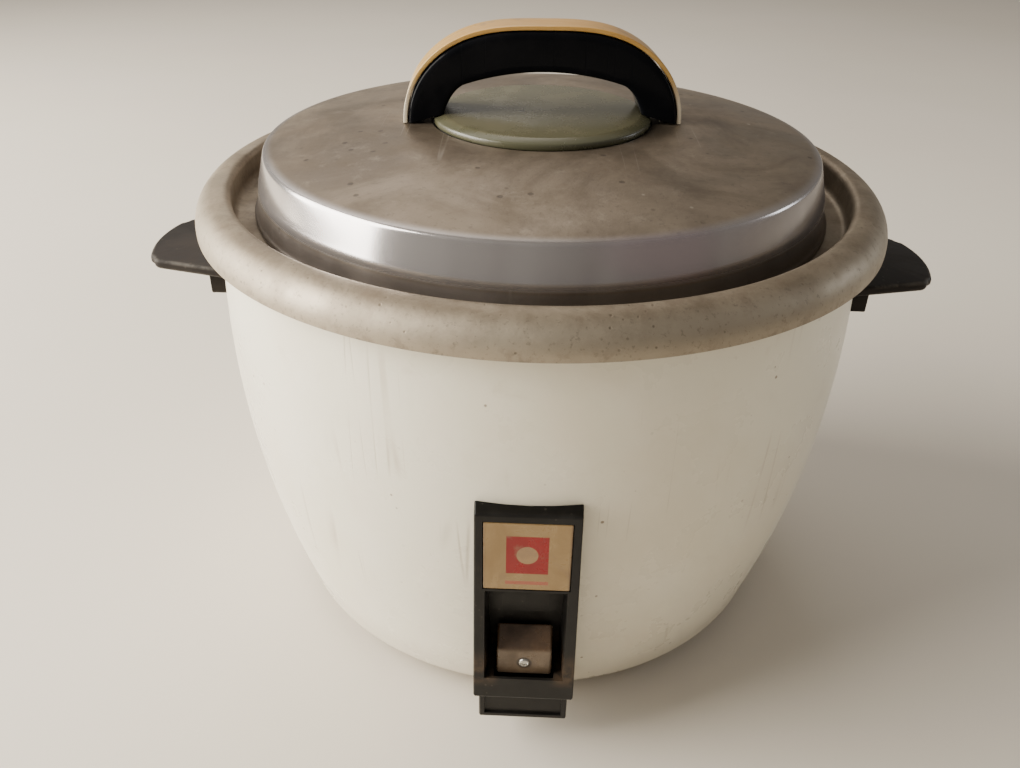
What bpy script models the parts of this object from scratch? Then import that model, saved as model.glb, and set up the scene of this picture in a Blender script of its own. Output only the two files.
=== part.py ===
"""A conventional rice cooker: painted body, rimmed inner pan, domed lid, switch lever and heater.

Run it with: blender --background --python part.py
Metres, +Z up. The origin is on the table under the middle of the body, the switch faces -Y,
and the side handles lie along X.
"""
import math

import bmesh
import bpy
from mathutils import Matrix, Vector

# Fits
GAP = 0.0003                 # between pieces that touch
HOLE_PLAY = 0.0003           # radial play of a screw or pin in its hole
TURN_STEPS = 48              # faces round a large turned piece
SMALL_STEPS = 16             # faces round a small turned piece
SCREW_SHANK = 0.0015         # radius of the fixing screws
SCREW_HEAD = 0.0030
SCREW_HEAD_HIGH = 0.0020
SCREW_HOLE = SCREW_SHANK + HOLE_PLAY

# Feet and base
FOOT_HEIGHT = 0.0067
FOOT_RADIUS = 0.0105
FOOT_INSET = 0.0415          # feet's circle inside the body's widest radius
FOOT_COUNT = 4
FOOT_SCREW_SINK = 0.0030     # depth of the well for the screw's head
FOOT_WELL = 0.0036           # its radius
FOOT_CHAMFER = 0.0015
FOOT_SCREW_END = 0.0018      # screw's end over the base plate
BASE_INSET = 0.0330          # plate's edge inside the body's widest radius
BASE_THICK = 0.0012

# Body shell
SHELL_WALL = 0.0010
BODY_HEIGHT = 0.1932
BELLY_RADIUS = 0.1380        # widest radius of the body
BELLY_RISE = 0.1350          # height of the widest place over the body's bottom
BELLY_CURVE = 1.2            # radius lost per square metre of height from there
BASE_ROUND = 0.0095          # corner between the wall and the turned-in bottom
OPENING_INSET = 0.0500       # edge of the hole in the body's bottom inside the widest radius
CUT_DEPTH = 0.0380           # how far the cutters for the wall's holes reach in

# Inner pan
PAN_WALL = 0.0012
RIM_OVERHANG = 0.0112        # rim's reach outside the body's top edge
RIM_ROUND = 0.0118           # outer rounding of the rim
RIM_SKIRT = 0.0013           # straight skirt under the rounding
LIP_ROUND = 0.0030           # inner rounding of the rim
LIP_DEPTH = 0.0120           # from the rim's top down to the lid's ledge
LIP_INSET = 0.0038           # lip's inner face inside the body's top edge
LEDGE_WIDTH = 0.0125
LEDGE_ROUND = 0.0030
PAN_STAND = 0.0572           # body's height less the pan's depth: the room under the pan
PAN_CORNER = 0.0220

# Lid
LID_WALL = 0.0011
LID_EDGE_PLAY = 0.0085       # between the lid's edge and the pan's lip
LID_EDGE_ROLL = 0.0014
LID_WALL_RISE = 0.0120       # upright wall of the lid
LID_WALL_LEAN = 0.0012
LID_BEVEL_RISE = 0.0134      # polished band above it
LID_BEVEL_LEAN = 0.0035
LID_CREASE_ROUND = 0.0022    # rolled edge between the band and the cone
LID_CROWN_RISE = 0.0078      # gentle cone from the band to the window
LID_CROWN_BEND = 0.9         # under 1, the cone is fuller near the crease
LID_TURN = math.radians(4.0)  # how far the lid stands turned on the pan

# Window in the lid
GLASS_RADIUS = 0.0456
GLASS_THICK = 0.0042
GLASS_BEVEL = 0.0040
GLASS_BEVEL_DROP = 0.0016
SEAT_WIDTH = 0.0070          # glass resting on the lid
SEAT_DROP = 0.0018           # seat under the top of the cone
SEAT_PLAY = 0.0007           # round the glass
GASKET_THICK = 0.0008
GASKET_INSET = 0.0010        # gasket inside the seat and under the glass's edge

# Lid handle
GRIP_PAST = 0.0119           # each foot's outer end past the window's edge
GRIP_FOOT = 0.0170           # length of each foot
GRIP_RISE = 0.0380           # top of the handle over the feet
GRIP_THICK = 0.0160          # arch at its middle
GRIP_WIDTH = 0.0200
STRIP_THICK = 0.0018
STRIP_WIDTH = 0.0176
GRIP_SCREW_INSET = 0.0062    # screw's axis from the handle's outer end
GRIP_SCREW_DEPTH = 0.0095    # screw's end over the handle's foot
GRIP_SQUARE_X = 0.62         # under 1, the arch is squarer than an ellipse
GRIP_SQUARE_Z = 0.80
GRIP_LEAN = 0.14             # how much the arch narrows towards its top
ARCH_SQUARE_X = 0.55         # the same three for the finger gap
ARCH_SQUARE_Z = 0.75
ARCH_LEAN = 0.06
ARCH_LOW = 0.0060            # finger gap's spring line over the glass
ARCH_INSET = 0.0025          # its width inside the handle's feet
GRIP_STEPS = 20

# Side handles
WING_DROP = 0.0360           # plate's top under the body's top edge
WING_REACH = 0.0369          # past the body
WING_TIP_HALF = 0.0250
WING_ROOT_HALF = 0.0330
WING_BOW = 0.0055            # how far the outer edge bulges
WING_THICK = 0.0045
WING_PAD_THICK = 0.0065
WING_PAD_HEIGHT = 0.0155
WING_SCREW_SPREAD = 0.0150
WING_CORNER = 0.0040
WING_SCREW_COVER = 0.0018    # material left in front of the screw's end

# Switch housing
BOX_BOTTOM = 0.0345
BOX_HEIGHT = 0.0910
BOX_OUT_TOP = 0.0040         # front face past the body's widest radius, at its top
BOX_OUT_BOTTOM = 0.0070
BOX_SIDE_TOP = 0.0083        # housing's side past the button's, at its top
BOX_SIDE_BOTTOM = 0.0090
BOX_FLARE = 0.0012           # the sides lean out towards the body
BOX_TOP_SLOPE = 0.0030
BOX_BACK_WALL = 0.0016
BOX_INTO = 0.0280            # where the housing's block ends, inside the body's widest radius
BOX_EDGE = 0.0006
BOX_SCREW_RISE = 0.0045      # fixing screws over the housing's underside
BOX_SCREW_ASIDE = 0.0043     # beside the button
BOX_SCREW_LENGTH = 0.0105
BOX_SCREW_OFF = 0.0015       # head's underside off the wall, which curves away under it
LENS_SIDE = 0.0032           # lens's side inside the housing's
LENS_HEIGHT = 0.0304
LENS_THICK = 0.0020
LENS_TOP_INSET = 0.0033
LENS_EDGE = 0.0004
LAMP_POCKET_INSET = 0.0050   # pocket for the lamp, inside the lens's edges
LAMP_RADIUS = 0.0015
LAMP_HALF = 0.0075
LAMP_CLEAR = 0.00045         # lamp behind the lens
LAMP_HOLE = 0.0050
RECESS_SIDE = 0.0049         # recess's side past the button's
RECESS_TAPER = 0.0044        # each side leans in by this much at the back
RECESS_SILL = 0.0107         # recess's floor over the housing's underside
RECESS_WEB = 0.0013          # material between the recess and the lens
LIP_THICK = 0.0012
SLOT_DEPTH = 0.0068
SLOT_PLAY = 0.0010           # beside the button
COVER_BOTTOM = 0.0170        # lower cover of the housing
COVER_SIDE = 0.0071          # cover's side past the button's
COVER_OUT = 0.0025           # its front past the body's widest radius
COVER_INTO = 0.0300          # and its back inside it
COVER_EDGE = 0.0008
COVER_FRAME = 0.0022         # raised frame round the cover's panel
COVER_PANEL_SINK = 0.0010

# Switch lever
BUTTON_HALF = 0.0107
BUTTON_HEIGHT = 0.0132       # its front
BUTTON_RISE = 0.0072         # its sloping top rises by this much towards the back
BUTTON_SUNK = 0.0006         # its underside under the recess's floor, in the slot
BUTTON_OUT = 0.0035          # its front past the body's widest radius
BUTTON_BACK_PLAY = 0.0006    # between the button and the housing's back wall
BUTTON_EDGE = 0.0009
BUTTON_SCREW_SHANK = 0.00125
BUTTON_SCREW_HEAD = 0.0022
BUTTON_SCREW_HIGH = 0.0012
BUTTON_SCREW_LENGTH = 0.0040
BUTTON_SINK = 0.0025         # radius of the screw's counterbore
BUTTON_SINK_DEPTH = 0.0008
LEVER_HALF = 0.0060
LEVER_THICK = 0.0015
TAB_INSET = 0.0030           # lever's upturned end behind the button's front
TAB_RISE = 0.0023            # and over the button's middle
BEND_OUT_INSET = 0.0215      # lever's outer bend inside the body's widest radius
BEND_IN_INSET = 0.0330       # and its inner bend
LEVER_BEND_RISE = 0.0010
LEVER_DROP = 0.0065          # lever's inner end under the pivot
LEVER_WINDOW_PLAY = 0.0012
PIVOT_INSET = 0.0580         # lever's pivot inside the body's widest radius
LEVER_PIVOT_Z = 0.0350
LEVER_BARREL = 0.0032
LEVER_TRAVEL = math.radians(4.5)
PIN_RADIUS = 0.0015
PIN_OVER = 0.0015            # past the bracket's cheeks
BRACKET_WALL = 0.0012
BRACKET_HALF = 0.0060
BRACKET_OVER = 0.0045        # cheeks over the pivot
BRACKET_PLAY = 0.0008        # beside the lever
SPRING_INSET = 0.0420        # return spring inside the body's widest radius
SPRING_RADIUS = 0.0040
SPRING_WIRE = 0.0005
SPRING_TURNS = 6

# Contacts that the lever's travel would close
CONTACT_LOW = (0.0150, -0.0660)      # corners of the block on the base plate
CONTACT_HIGH = (0.0270, -0.0460)
CONTACT_HEIGHT = 0.0140
BLADE_SIDE = 0.0020          # blades inside the block's sides
BLADE_TIP = -0.0300
BLADE_THICK = 0.0006
BLADE_RISE = 0.0010          # lower blade over the block
BLADE_SPACE = 0.0032

# Heater and thermostat
HEATER_THICK = 0.0117
HEATER_CHAMFER = 0.0040
HEATER_EDGE = 0.0015
HEATER_MARGIN = 0.0030       # heater's edge inside the pan's flat bottom
HEATER_HOLE = 0.0190
ELEMENT_INSET = 0.0720       # element's ring inside the body's widest radius
ELEMENT_RADIUS = 0.0042
ELEMENT_START = 112          # degrees
ELEMENT_SWEEP = 316
ELEMENT_STEPS = 36
SHIELD_INSET = 0.0420        # its edge inside the body's widest radius
SHIELD_RIM = 0.0040
SHIELD_PLAY = 0.0030         # round the thermostat's cup
SHIELD_THICK = 0.0008
SHIELD_CLEAR = 0.0021        # between the element and the shield
LEG_INSET = 0.0580           # legs' circle inside the body's widest radius
LEG_RADIUS = 0.0040
LEG_COLLAR = 0.0022
LEG_COUNT = 3
CAP_RADIUS = 0.0165
CAP_HEIGHT = 0.0140
CAP_WALL = 0.0010
CAP_CHAMFER = 0.0008
SENSOR_TRAVEL = 0.0020       # how far the pan presses the cap down
FERRITE_THICK = 0.0047
FERRITE_RADIUS = 0.0125
MAGNET_RADIUS = 0.0115
MAGNET_THICK = 0.0040
ROD_RADIUS = 0.0020
ROD_HEAD = 0.0060
ROD_HEAD_THICK = 0.0012
CUP_RADIUS = 0.0180
CUP_WALL = 0.0010
CUP_FLOOR = 0.0012
CUP_FLANGE = 0.0060
CUP_BELOW = 0.0047           # cup's underside under the shield's top

# Power inlet
INLET_BELOW = 0.0032         # middle of the inlet under the heat shield's top
INLET_HALF_WIDTH = 0.0190
INLET_HALF_HEIGHT = 0.0130
INLET_FLANGE = 0.0030
INLET_EDGE = 0.0008
INLET_WALL = 0.0022
INLET_MOUTH = 0.0075         # mouth inside the body's widest radius
INLET_INTO = 0.0380          # and its back
INLET_FLOOR = 0.0060
PIN_SPREAD = 0.0095
POWER_PIN_RADIUS = 0.0022
POWER_PIN_IN = 0.0050        # pin's end inside the body
POWER_PIN_SHORT = 0.0070     # and its tip behind the inlet's mouth

# Wires and fuse
WIRE_RADIUS = 0.0013
WIRE_OFF_PIN = 0.0018        # wire's end from the pin
WIRE_LOW = 0.0032            # wire's middle over the base plate
FUSE_RADIUS = 0.0020
FUSE_X = -0.0620
FUSE_Y = 0.0300
FUSE_HALF = 0.0060
FUSE_BELOW = 0.0024          # under the heat shield

# Places that follow from the sizes
FOOT_CIRCLE = BELLY_RADIUS - FOOT_INSET
BASE_RADIUS = BELLY_RADIUS - BASE_INSET
BOTTOM_OPENING = BELLY_RADIUS - OPENING_INSET
PAN_DEPTH = BODY_HEIGHT - PAN_STAND          # from the rim's top to the pan's underside
GRIP_SPAN = 2 * (GLASS_RADIUS + GRIP_PAST)   # over the handle's two feet
BOX_FRONT_TOP = BELLY_RADIUS + BOX_OUT_TOP
BOX_FRONT_BOTTOM = BELLY_RADIUS + BOX_OUT_BOTTOM
BOX_BACK = BELLY_RADIUS - BOX_INTO
BOX_HALF_TOP = BUTTON_HALF + BOX_SIDE_TOP
BOX_HALF_BOTTOM = BUTTON_HALF + BOX_SIDE_BOTTOM
BOX_TOP = BOX_BOTTOM + BOX_HEIGHT
LENS_WIDTH = 2 * (BOX_HALF_TOP - LENS_SIDE)
LENS_MIDDLE = BOX_TOP - LENS_TOP_INSET - LENS_HEIGHT / 2
RECESS_HALF = BUTTON_HALF + RECESS_SIDE
RECESS_BOTTOM = BOX_BOTTOM + RECESS_SILL
RECESS_TOP = LENS_MIDDLE - LENS_HEIGHT / 2 - RECESS_WEB
COVER_HALF = BUTTON_HALF + COVER_SIDE
COVER_FRONT = BELLY_RADIUS + COVER_OUT
COVER_BACK = BELLY_RADIUS - COVER_INTO
BUTTON_BOTTOM = RECESS_BOTTOM - BUTTON_SUNK
BUTTON_FRONT = BELLY_RADIUS + BUTTON_OUT
LEVER_PIVOT = BELLY_RADIUS - PIVOT_INSET     # from the axis
LEVER_BEND_OUT = BELLY_RADIUS - BEND_OUT_INSET
LEVER_BEND_IN = BELLY_RADIUS - BEND_IN_INSET
SPRING_PLACE = BELLY_RADIUS - SPRING_INSET
ELEMENT_RING = BELLY_RADIUS - ELEMENT_INSET
SHIELD_RADIUS = BELLY_RADIUS - SHIELD_INSET
SHIELD_BELOW = HEATER_THICK + GAP + 2 * ELEMENT_RADIUS + SHIELD_CLEAR    # under the heater's top
CUP_DROP = SHIELD_BELOW + CUP_BELOW
LEG_CIRCLE = BELLY_RADIUS - LEG_INSET
INLET_FRONT = BELLY_RADIUS - INLET_MOUTH
INLET_BACK = BELLY_RADIUS - INLET_INTO
BODY_BOTTOM = FOOT_HEIGHT + GAP
BODY_TOP = BODY_BOTTOM + BODY_HEIGHT
RIM_TOP = BODY_TOP + PAN_WALL + 2 * GAP
LEDGE_TOP = RIM_TOP - LIP_DEPTH
PAN_BOTTOM = RIM_TOP - PAN_DEPTH
HEATER_TOP = PAN_BOTTOM - GAP
HEATER_BOTTOM = HEATER_TOP - HEATER_THICK
SHIELD_TOP = HEATER_TOP - SHIELD_BELOW
INLET_Z = SHIELD_TOP - INLET_BELOW
BASE_BOTTOM = BODY_BOTTOM + SHELL_WALL + GAP
BASE_TOP = BASE_BOTTOM + BASE_THICK
BUTTON_TOP = BUTTON_BOTTOM + BUTTON_HEIGHT
BUTTON_MIDDLE = BUTTON_BOTTOM + BUTTON_HEIGHT / 2
TAB_PLACE = BUTTON_FRONT - TAB_INSET


def body_radius(z):
    """Outer radius of the body's wall at height z."""
    rise = z - BODY_BOTTOM - BELLY_RISE
    return BELLY_RADIUS - BELLY_CURVE * rise * rise


BODY_TOP_RADIUS = body_radius(BODY_TOP)
RIM_RADIUS = BODY_TOP_RADIUS + RIM_OVERHANG
LIP_RADIUS = BODY_TOP_RADIUS - LIP_INSET
LEDGE_INNER = LIP_RADIUS - LEDGE_WIDTH
HEATER_RADIUS = LEDGE_INNER - PAN_CORNER - HEATER_MARGIN
LID_EDGE = LIP_RADIUS - LID_EDGE_PLAY
LID_EDGE_Z = LEDGE_TOP + GAP
LID_BREAK_Z = LID_EDGE_Z + LID_WALL_RISE
LID_BREAK = LID_EDGE - LID_EDGE_ROLL - LID_WALL_LEAN
LID_CREASE_Z = LID_BREAK_Z + LID_BEVEL_RISE
LID_CREASE = LID_BREAK - LID_BEVEL_LEAN
SEAT_Z = LID_CREASE_Z + LID_CROWN_RISE - SEAT_DROP
SEAT_RADIUS = GLASS_RADIUS + SEAT_PLAY
GLASS_BOTTOM = SEAT_Z + GASKET_THICK + 2 * GAP
GLASS_TOP = GLASS_BOTTOM + GLASS_THICK
PLUNGER_TRAVEL = LEVER_PIVOT * math.sin(LEVER_TRAVEL)
BUTTON_BACK = body_radius(BUTTON_TOP + BUTTON_RISE) + GAP + BOX_BACK_WALL + BUTTON_BACK_PLAY
LEVER_SWING = (BUTTON_FRONT - LEVER_PIVOT) * math.sin(LEVER_TRAVEL)
LEVER_LOW = BUTTON_MIDDLE - LEVER_THICK - LEVER_SWING    # underside of the pressed lever


def crown_z(radius):
    """Height of the lid's outer surface between the window seat and the crease."""
    share = max(0.0, (LID_CREASE - radius) / (LID_CREASE - SEAT_RADIUS))
    return LID_CREASE_Z + LID_CROWN_RISE * math.sin(share * math.pi / 2) ** LID_CROWN_BEND


def clear_scene():
    for item in list(bpy.data.objects):
        bpy.data.objects.remove(item)


def finish(name, colour, rough, metal, **extra):
    """A Principled material for one finish."""
    found = bpy.data.materials.get(name)
    if found:
        return found
    made = bpy.data.materials.new(name)
    made.use_nodes = True
    shader = made.node_tree.nodes["Principled BSDF"]
    shader.inputs["Base Color"].default_value = (*colour, 1.0)
    shader.inputs["Roughness"].default_value = rough
    shader.inputs["Metallic"].default_value = metal
    for socket, value in extra.items():
        shader.inputs[socket.replace("_", " ")].default_value = value
    return made


def finishes():
    """All the finishes, by a short name."""
    return {
        "enamel": finish("cream_enamel", (0.76, 0.72, 0.60), 0.35, 0.0),
        "dull_alu": finish("dull_aluminium", (0.42, 0.39, 0.35), 0.55, 0.9),
        "alu": finish("lid_aluminium", (0.50, 0.48, 0.46), 0.38, 1.0),
        "cast": finish("cast_aluminium", (0.55, 0.55, 0.54), 0.5, 1.0),
        "black": finish("black_bakelite", (0.025, 0.025, 0.028), 0.4, 0.0),
        "ivory": finish("ivory_strip", (0.72, 0.58, 0.36), 0.4, 0.0),
        "button": finish("button_plastic", (0.55, 0.44, 0.32), 0.4, 0.0),
        "label": finish("label_plastic", (0.60, 0.52, 0.40), 0.45, 0.0),
        "glass": finish("green_glass", (0.62, 0.68, 0.56), 0.15, 0.0, Transmission_Weight=0.6),
        "steel": finish("zinc_steel", (0.60, 0.60, 0.58), 0.4, 1.0),
        "spring": finish("spring_steel", (0.45, 0.45, 0.46), 0.3, 1.0),
        "rubber": finish("black_rubber", (0.03, 0.03, 0.03), 0.8, 0.0),
        "ferrite": finish("ferrite_grey", (0.09, 0.09, 0.10), 0.6, 0.2),
        "brass": finish("contact_brass", (0.70, 0.50, 0.22), 0.35, 1.0),
        "wire": finish("wire_sleeve", (0.70, 0.68, 0.60), 0.7, 0.0),
    }


def new_object(name, bm, material, smooth_angle=40.0):
    """Puts a bmesh into the scene as a named object with faces pointing out."""
    bmesh.ops.remove_doubles(bm, verts=bm.verts, dist=0.000001)
    bmesh.ops.recalc_face_normals(bm, faces=bm.faces)
    mesh = bpy.data.meshes.new(name)
    bm.to_mesh(mesh)
    bm.free()
    made = bpy.data.objects.new(name, mesh)
    bpy.context.scene.collection.objects.link(made)
    if material is not None:
        mesh.materials.append(material)
    mesh.shade_smooth()
    mesh.set_sharp_from_angle(angle=math.radians(smooth_angle))
    return made


def place(made, matrix):
    """Moves a finished mesh by a matrix, so that later cuts see it in its place."""
    made.data.transform(matrix)
    return made


def turned(name, outline, material, steps=TURN_STEPS, centre=(0.0, 0.0)):
    """A closed outline of (radius, z) spun about the vertical through centre."""
    bm = bmesh.new()
    points = [bm.verts.new((radius, 0.0, z)) for radius, z in outline]
    count = len(points)
    edges = [bm.edges.new((points[i], points[(i + 1) % count]))
             for i in range(count)
             if outline[i][0] > 0 or outline[(i + 1) % count][0] > 0]
    bmesh.ops.spin(bm, geom=points + edges, cent=(0, 0, 0), axis=(0, 0, 1),
                   angle=2 * math.pi, steps=steps, use_merge=False)
    bmesh.ops.remove_doubles(bm, verts=bm.verts, dist=0.000002)
    made = new_object(name, bm, material)
    return place(made, Matrix.Translation((*centre, 0.0)))


def prism(name, outline, low, high, material, turn):
    """A flat outline of (x, y) raised from z = low to z = high, then turned by a matrix."""
    bm = bmesh.new()
    face = bm.faces.new([bm.verts.new((x, y, low)) for x, y in outline])
    raised = bmesh.ops.extrude_face_region(bm, geom=[face])
    tops = [item for item in raised["geom"] if isinstance(item, bmesh.types.BMVert)]
    bmesh.ops.translate(bm, verts=tops, vec=(0, 0, high - low))
    return place(new_object(name, bm, material, 30.0), turn)


def block(name, low, high, material, bevel=0.0):
    """A box between two corners, with its edges rounded by bevel."""
    bm = bmesh.new()
    bmesh.ops.create_cube(bm, size=1.0)
    size = [b - a for a, b in zip(low, high)]
    middle = [(a + b) / 2 for a, b in zip(low, high)]
    bmesh.ops.scale(bm, vec=size, verts=bm.verts)
    bmesh.ops.translate(bm, vec=middle, verts=bm.verts)
    if bevel:
        bmesh.ops.bevel(bm, geom=bm.edges, offset=bevel, segments=2, profile=0.5, affect="EDGES")
    return new_object(name, bm, material, 30.0)


def hull(name, corners, material, bevel=0.0):
    """The convex solid of some corner points."""
    bm = bmesh.new()
    for corner in corners:
        bm.verts.new(corner)
    bmesh.ops.convex_hull(bm, input=bm.verts)
    bmesh.ops.dissolve_limit(bm, angle_limit=0.002, verts=bm.verts, edges=bm.edges)
    if bevel:
        bmesh.ops.bevel(bm, geom=bm.edges, offset=bevel, segments=2, profile=0.5, affect="EDGES")
    return new_object(name, bm, material, 30.0)


def rod(name, radius, start, end, material, steps=12):
    """A round bar between two points."""
    run = Vector(end) - Vector(start)
    bm = bmesh.new()
    bmesh.ops.create_cone(bm, cap_ends=True, segments=steps, radius1=radius, radius2=radius,
                          depth=run.length)
    turn = Vector((0, 0, 1)).rotation_difference(run.normalized()).to_matrix().to_4x4()
    middle = (Vector(start) + Vector(end)) / 2
    return place(new_object(name, bm, material), Matrix.Translation(middle) @ turn)


def cutter(made):
    """Marks an object as a tool for a Boolean, which isn't part of the model."""
    made.hide_render = True
    made.display_type = "WIRE"
    return made


def combine(made, other, operation):
    """Adds a Boolean with another object."""
    step = made.modifiers.new(operation.lower(), "BOOLEAN")
    step.operation = operation
    step.solver = "EXACT"
    step.object = cutter(other)
    return made


def cut(made, other):
    return combine(made, other, "DIFFERENCE")


def join(made, other):
    return combine(made, other, "UNION")


def arc(centre, radius, start, end, steps):
    """Points on an arc, from the angle start to the angle end, in degrees."""
    angles = [math.radians(start + (end - start) * i / steps) for i in range(steps + 1)]
    return [(centre[0] + radius * math.cos(a), centre[1] + radius * math.sin(a)) for a in angles]


def offset_path(points, distance):
    """The path moved sideways, to the right of its direction, with mitred corners."""
    moved = []
    for i, point in enumerate(points):
        normals = []
        for a, b in ((i - 1, i), (i, i + 1)):
            if a < 0 or b >= len(points):
                continue
            step = (Vector(points[b]) - Vector(points[a])).normalized()
            normals.append(Vector((step.y, -step.x)))
        middle = sum(normals, Vector((0.0, 0.0))).normalized()
        reach = distance / max(0.5, middle.dot(normals[0]))
        moved.append((point[0] + middle.x * reach, point[1] + middle.y * reach))
    return moved


def wire_line(name, points, radius, roundness, material):
    """A round wire with closed ends through some points."""
    line = bpy.data.curves.new(name, "CURVE")
    line.dimensions = "3D"
    line.bevel_depth = radius
    line.bevel_resolution = roundness
    line.use_fill_caps = True
    path = line.splines.new("POLY")
    path.points.add(len(points) - 1)
    for point, place_at in zip(path.points, points):
        point.co = (*place_at, 1.0)
    made = bpy.data.objects.new(name, line)
    bpy.context.scene.collection.objects.link(made)
    line.materials.append(material)
    return made


def spring(name, radius, wire, low, high, turns, material, centre=(0.0, 0.0)):
    """A coil of round wire standing between two heights."""
    steps = turns * 12
    points = []
    for i in range(steps + 1):
        angle = i / steps * turns * 2 * math.pi
        height = low + wire + (high - low - 2 * wire) * i / steps
        points.append((centre[0] + radius * math.cos(angle),
                       centre[1] + radius * math.sin(angle), height))
    return wire_line(name, points, wire, 0, material)


def tube(name, points, radius, material):
    """A round wire along a smooth curve through some points."""
    way = [Vector(p) for p in points]
    way = [way[0] * 2 - way[1]] + way + [way[-1] * 2 - way[-2]]
    smooth = []
    for a, b, c, d in zip(way, way[1:], way[2:], way[3:]):
        for i in range(4):
            t = i / 4
            smooth.append(0.5 * ((2 * b) + (c - a) * t + (2 * a - 5 * b + 4 * c - d) * t * t
                                 + (3 * b - a - 3 * c + d) * t ** 3))
    smooth.append(way[-2])
    return wire_line(name, smooth, radius, 1, material)


def screw(name, start, direction, length, material,
          head=SCREW_HEAD, high=SCREW_HEAD_HIGH, shank=SCREW_SHANK):
    """A pan-head screw whose head's underside is at start and whose shank runs along direction."""
    outline = [(0.0, -high), (head * 0.7, -high), (head, -high / 2), (head, 0.0), (shank, 0.0),
               (shank, length - shank), (shank * 0.6, length), (0.0, length)]
    made = turned(name, outline, material, 12)
    turn = Vector((0, 0, 1)).rotation_difference(Vector(direction).normalized())
    return place(made, Matrix.Translation(start) @ turn.to_matrix().to_4x4())


def around(count, start_degrees, radius):
    """Points spaced evenly on a circle."""
    angles = [math.radians(start_degrees + 360.0 * i / count) for i in range(count)]
    return [(radius * math.cos(a), radius * math.sin(a)) for a in angles]


def body_path(extra, low, high, steps):
    """(radius, z) up the body's wall, moved out by extra."""
    heights = [low + (high - low) * i / steps for i in range(steps + 1)]
    return [(body_radius(z) + extra, z) for z in heights]


def body_solid(name, extra):
    """A filled body, larger by extra, to cut what lies against the body."""
    wall = body_path(extra, 0.0, BODY_TOP, 14)
    outline = [(0.0, 0.0)] + wall + [(0.0, BODY_TOP)]
    return cutter(turned(name, outline, None, 96))


def make_body(look):
    corner_z = BODY_BOTTOM + BASE_ROUND
    wall_low = body_radius(corner_z)
    corner = arc((wall_low - BASE_ROUND, corner_z), BASE_ROUND, -90, 0, 4)
    path = [(BOTTOM_OPENING, BODY_BOTTOM)] + corner[:-1]
    path += body_path(0.0, corner_z, BODY_TOP, 9)
    inner = offset_path(path, -SHELL_WALL)
    inner[-1] = (inner[-1][0], BODY_TOP)
    inner[0] = (BOTTOM_OPENING, BODY_BOTTOM + SHELL_WALL)
    shell = turned("outer_body", path + inner[::-1], look["enamel"])
    outside = BELLY_RADIUS + CUT_DEPTH
    inside = BELLY_RADIUS - CUT_DEPTH
    window_half = LEVER_HALF + LEVER_WINDOW_PLAY
    cut(shell, block("body_window", (-window_half, -outside, LEVER_LOW),
                     (window_half, -inside, BUTTON_TOP), None))
    cut(shell, rod("body_lamp_hole", LAMP_HOLE, (0, -outside, LENS_MIDDLE), (0, -inside, LENS_MIDDLE),
                   None))
    play = 2 * GAP
    cut(shell, block("body_inlet_hole",
                     (-INLET_HALF_WIDTH - play, inside, INLET_Z - INLET_HALF_HEIGHT - play),
                     (INLET_HALF_WIDTH + play, outside, INLET_Z + INLET_HALF_HEIGHT + play), None))
    for i, (side, y, z) in enumerate(wing_screw_places()):
        cut(shell, rod(f"body_wing_hole_{i}", SCREW_HOLE, (side * inside, y, z),
                       (side * outside, y, z), None))
    for i, (x, z) in enumerate(box_screw_places()):
        cut(shell, rod(f"body_box_hole_{i}", SCREW_HOLE, (x, -inside, z), (x, -outside, z), None))
    cut_foot_holes(shell)


def cut_foot_holes(plate):
    for i, (x, y) in enumerate(around(FOOT_COUNT, 45, FOOT_CIRCLE)):
        cut(plate, rod(f"{plate.name}_foot_hole_{i}", SCREW_HOLE, (x, y, 0),
                       (x, y, BASE_TOP + BASE_THICK), None))


def make_base(look):
    outline = [(0.0, BASE_BOTTOM), (BASE_RADIUS, BASE_BOTTOM),
               (BASE_RADIUS, BASE_TOP), (0.0, BASE_TOP)]
    cut_foot_holes(turned("base_plate", outline, look["steel"]))


def make_feet(look):
    for i, (x, y) in enumerate(around(FOOT_COUNT, 45, FOOT_CIRCLE)):
        outline = [(FOOT_WELL, 0.0), (FOOT_RADIUS - FOOT_CHAMFER, 0.0), (FOOT_RADIUS, FOOT_CHAMFER),
                   (FOOT_RADIUS, FOOT_HEIGHT), (SCREW_HOLE, FOOT_HEIGHT),
                   (SCREW_HOLE, FOOT_SCREW_SINK), (FOOT_WELL, FOOT_SCREW_SINK)]
        turned(f"foot_{i + 1}", outline, look["rubber"], SMALL_STEPS, (x, y))
        start = FOOT_SCREW_SINK - GAP
        screw(f"foot_screw_{i + 1}", (x, y, start), (0, 0, 1), BASE_TOP + FOOT_SCREW_END - start,
              look["steel"])


def pan_path():
    """(radius, z) along the pan's outer surface: skirt, rim, lip, ledge, wall, corner, bottom."""
    rim_centre = (RIM_RADIUS - RIM_ROUND, RIM_TOP - RIM_ROUND)
    path = [(RIM_RADIUS, RIM_TOP - RIM_ROUND - RIM_SKIRT)]
    path += arc(rim_centre, RIM_ROUND, 0, 90, 5)
    lip_centre = (LIP_RADIUS + LIP_ROUND, RIM_TOP - LIP_ROUND)
    path += arc(lip_centre, LIP_ROUND, 100, 180, 3)
    foot_centre = (LIP_RADIUS - LEDGE_ROUND, LEDGE_TOP + LEDGE_ROUND)
    path += arc(foot_centre, LEDGE_ROUND, 0, -90, 3)
    edge_centre = (LEDGE_INNER + LEDGE_ROUND, LEDGE_TOP - LEDGE_ROUND)
    path += arc(edge_centre, LEDGE_ROUND, 90, 180, 3)
    inner_corner = PAN_CORNER - PAN_WALL
    floor = PAN_BOTTOM + PAN_WALL
    path += arc((LEDGE_INNER - inner_corner, floor + inner_corner), inner_corner, 0, -90, 4)
    return path + [(0.0, floor)]


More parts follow.
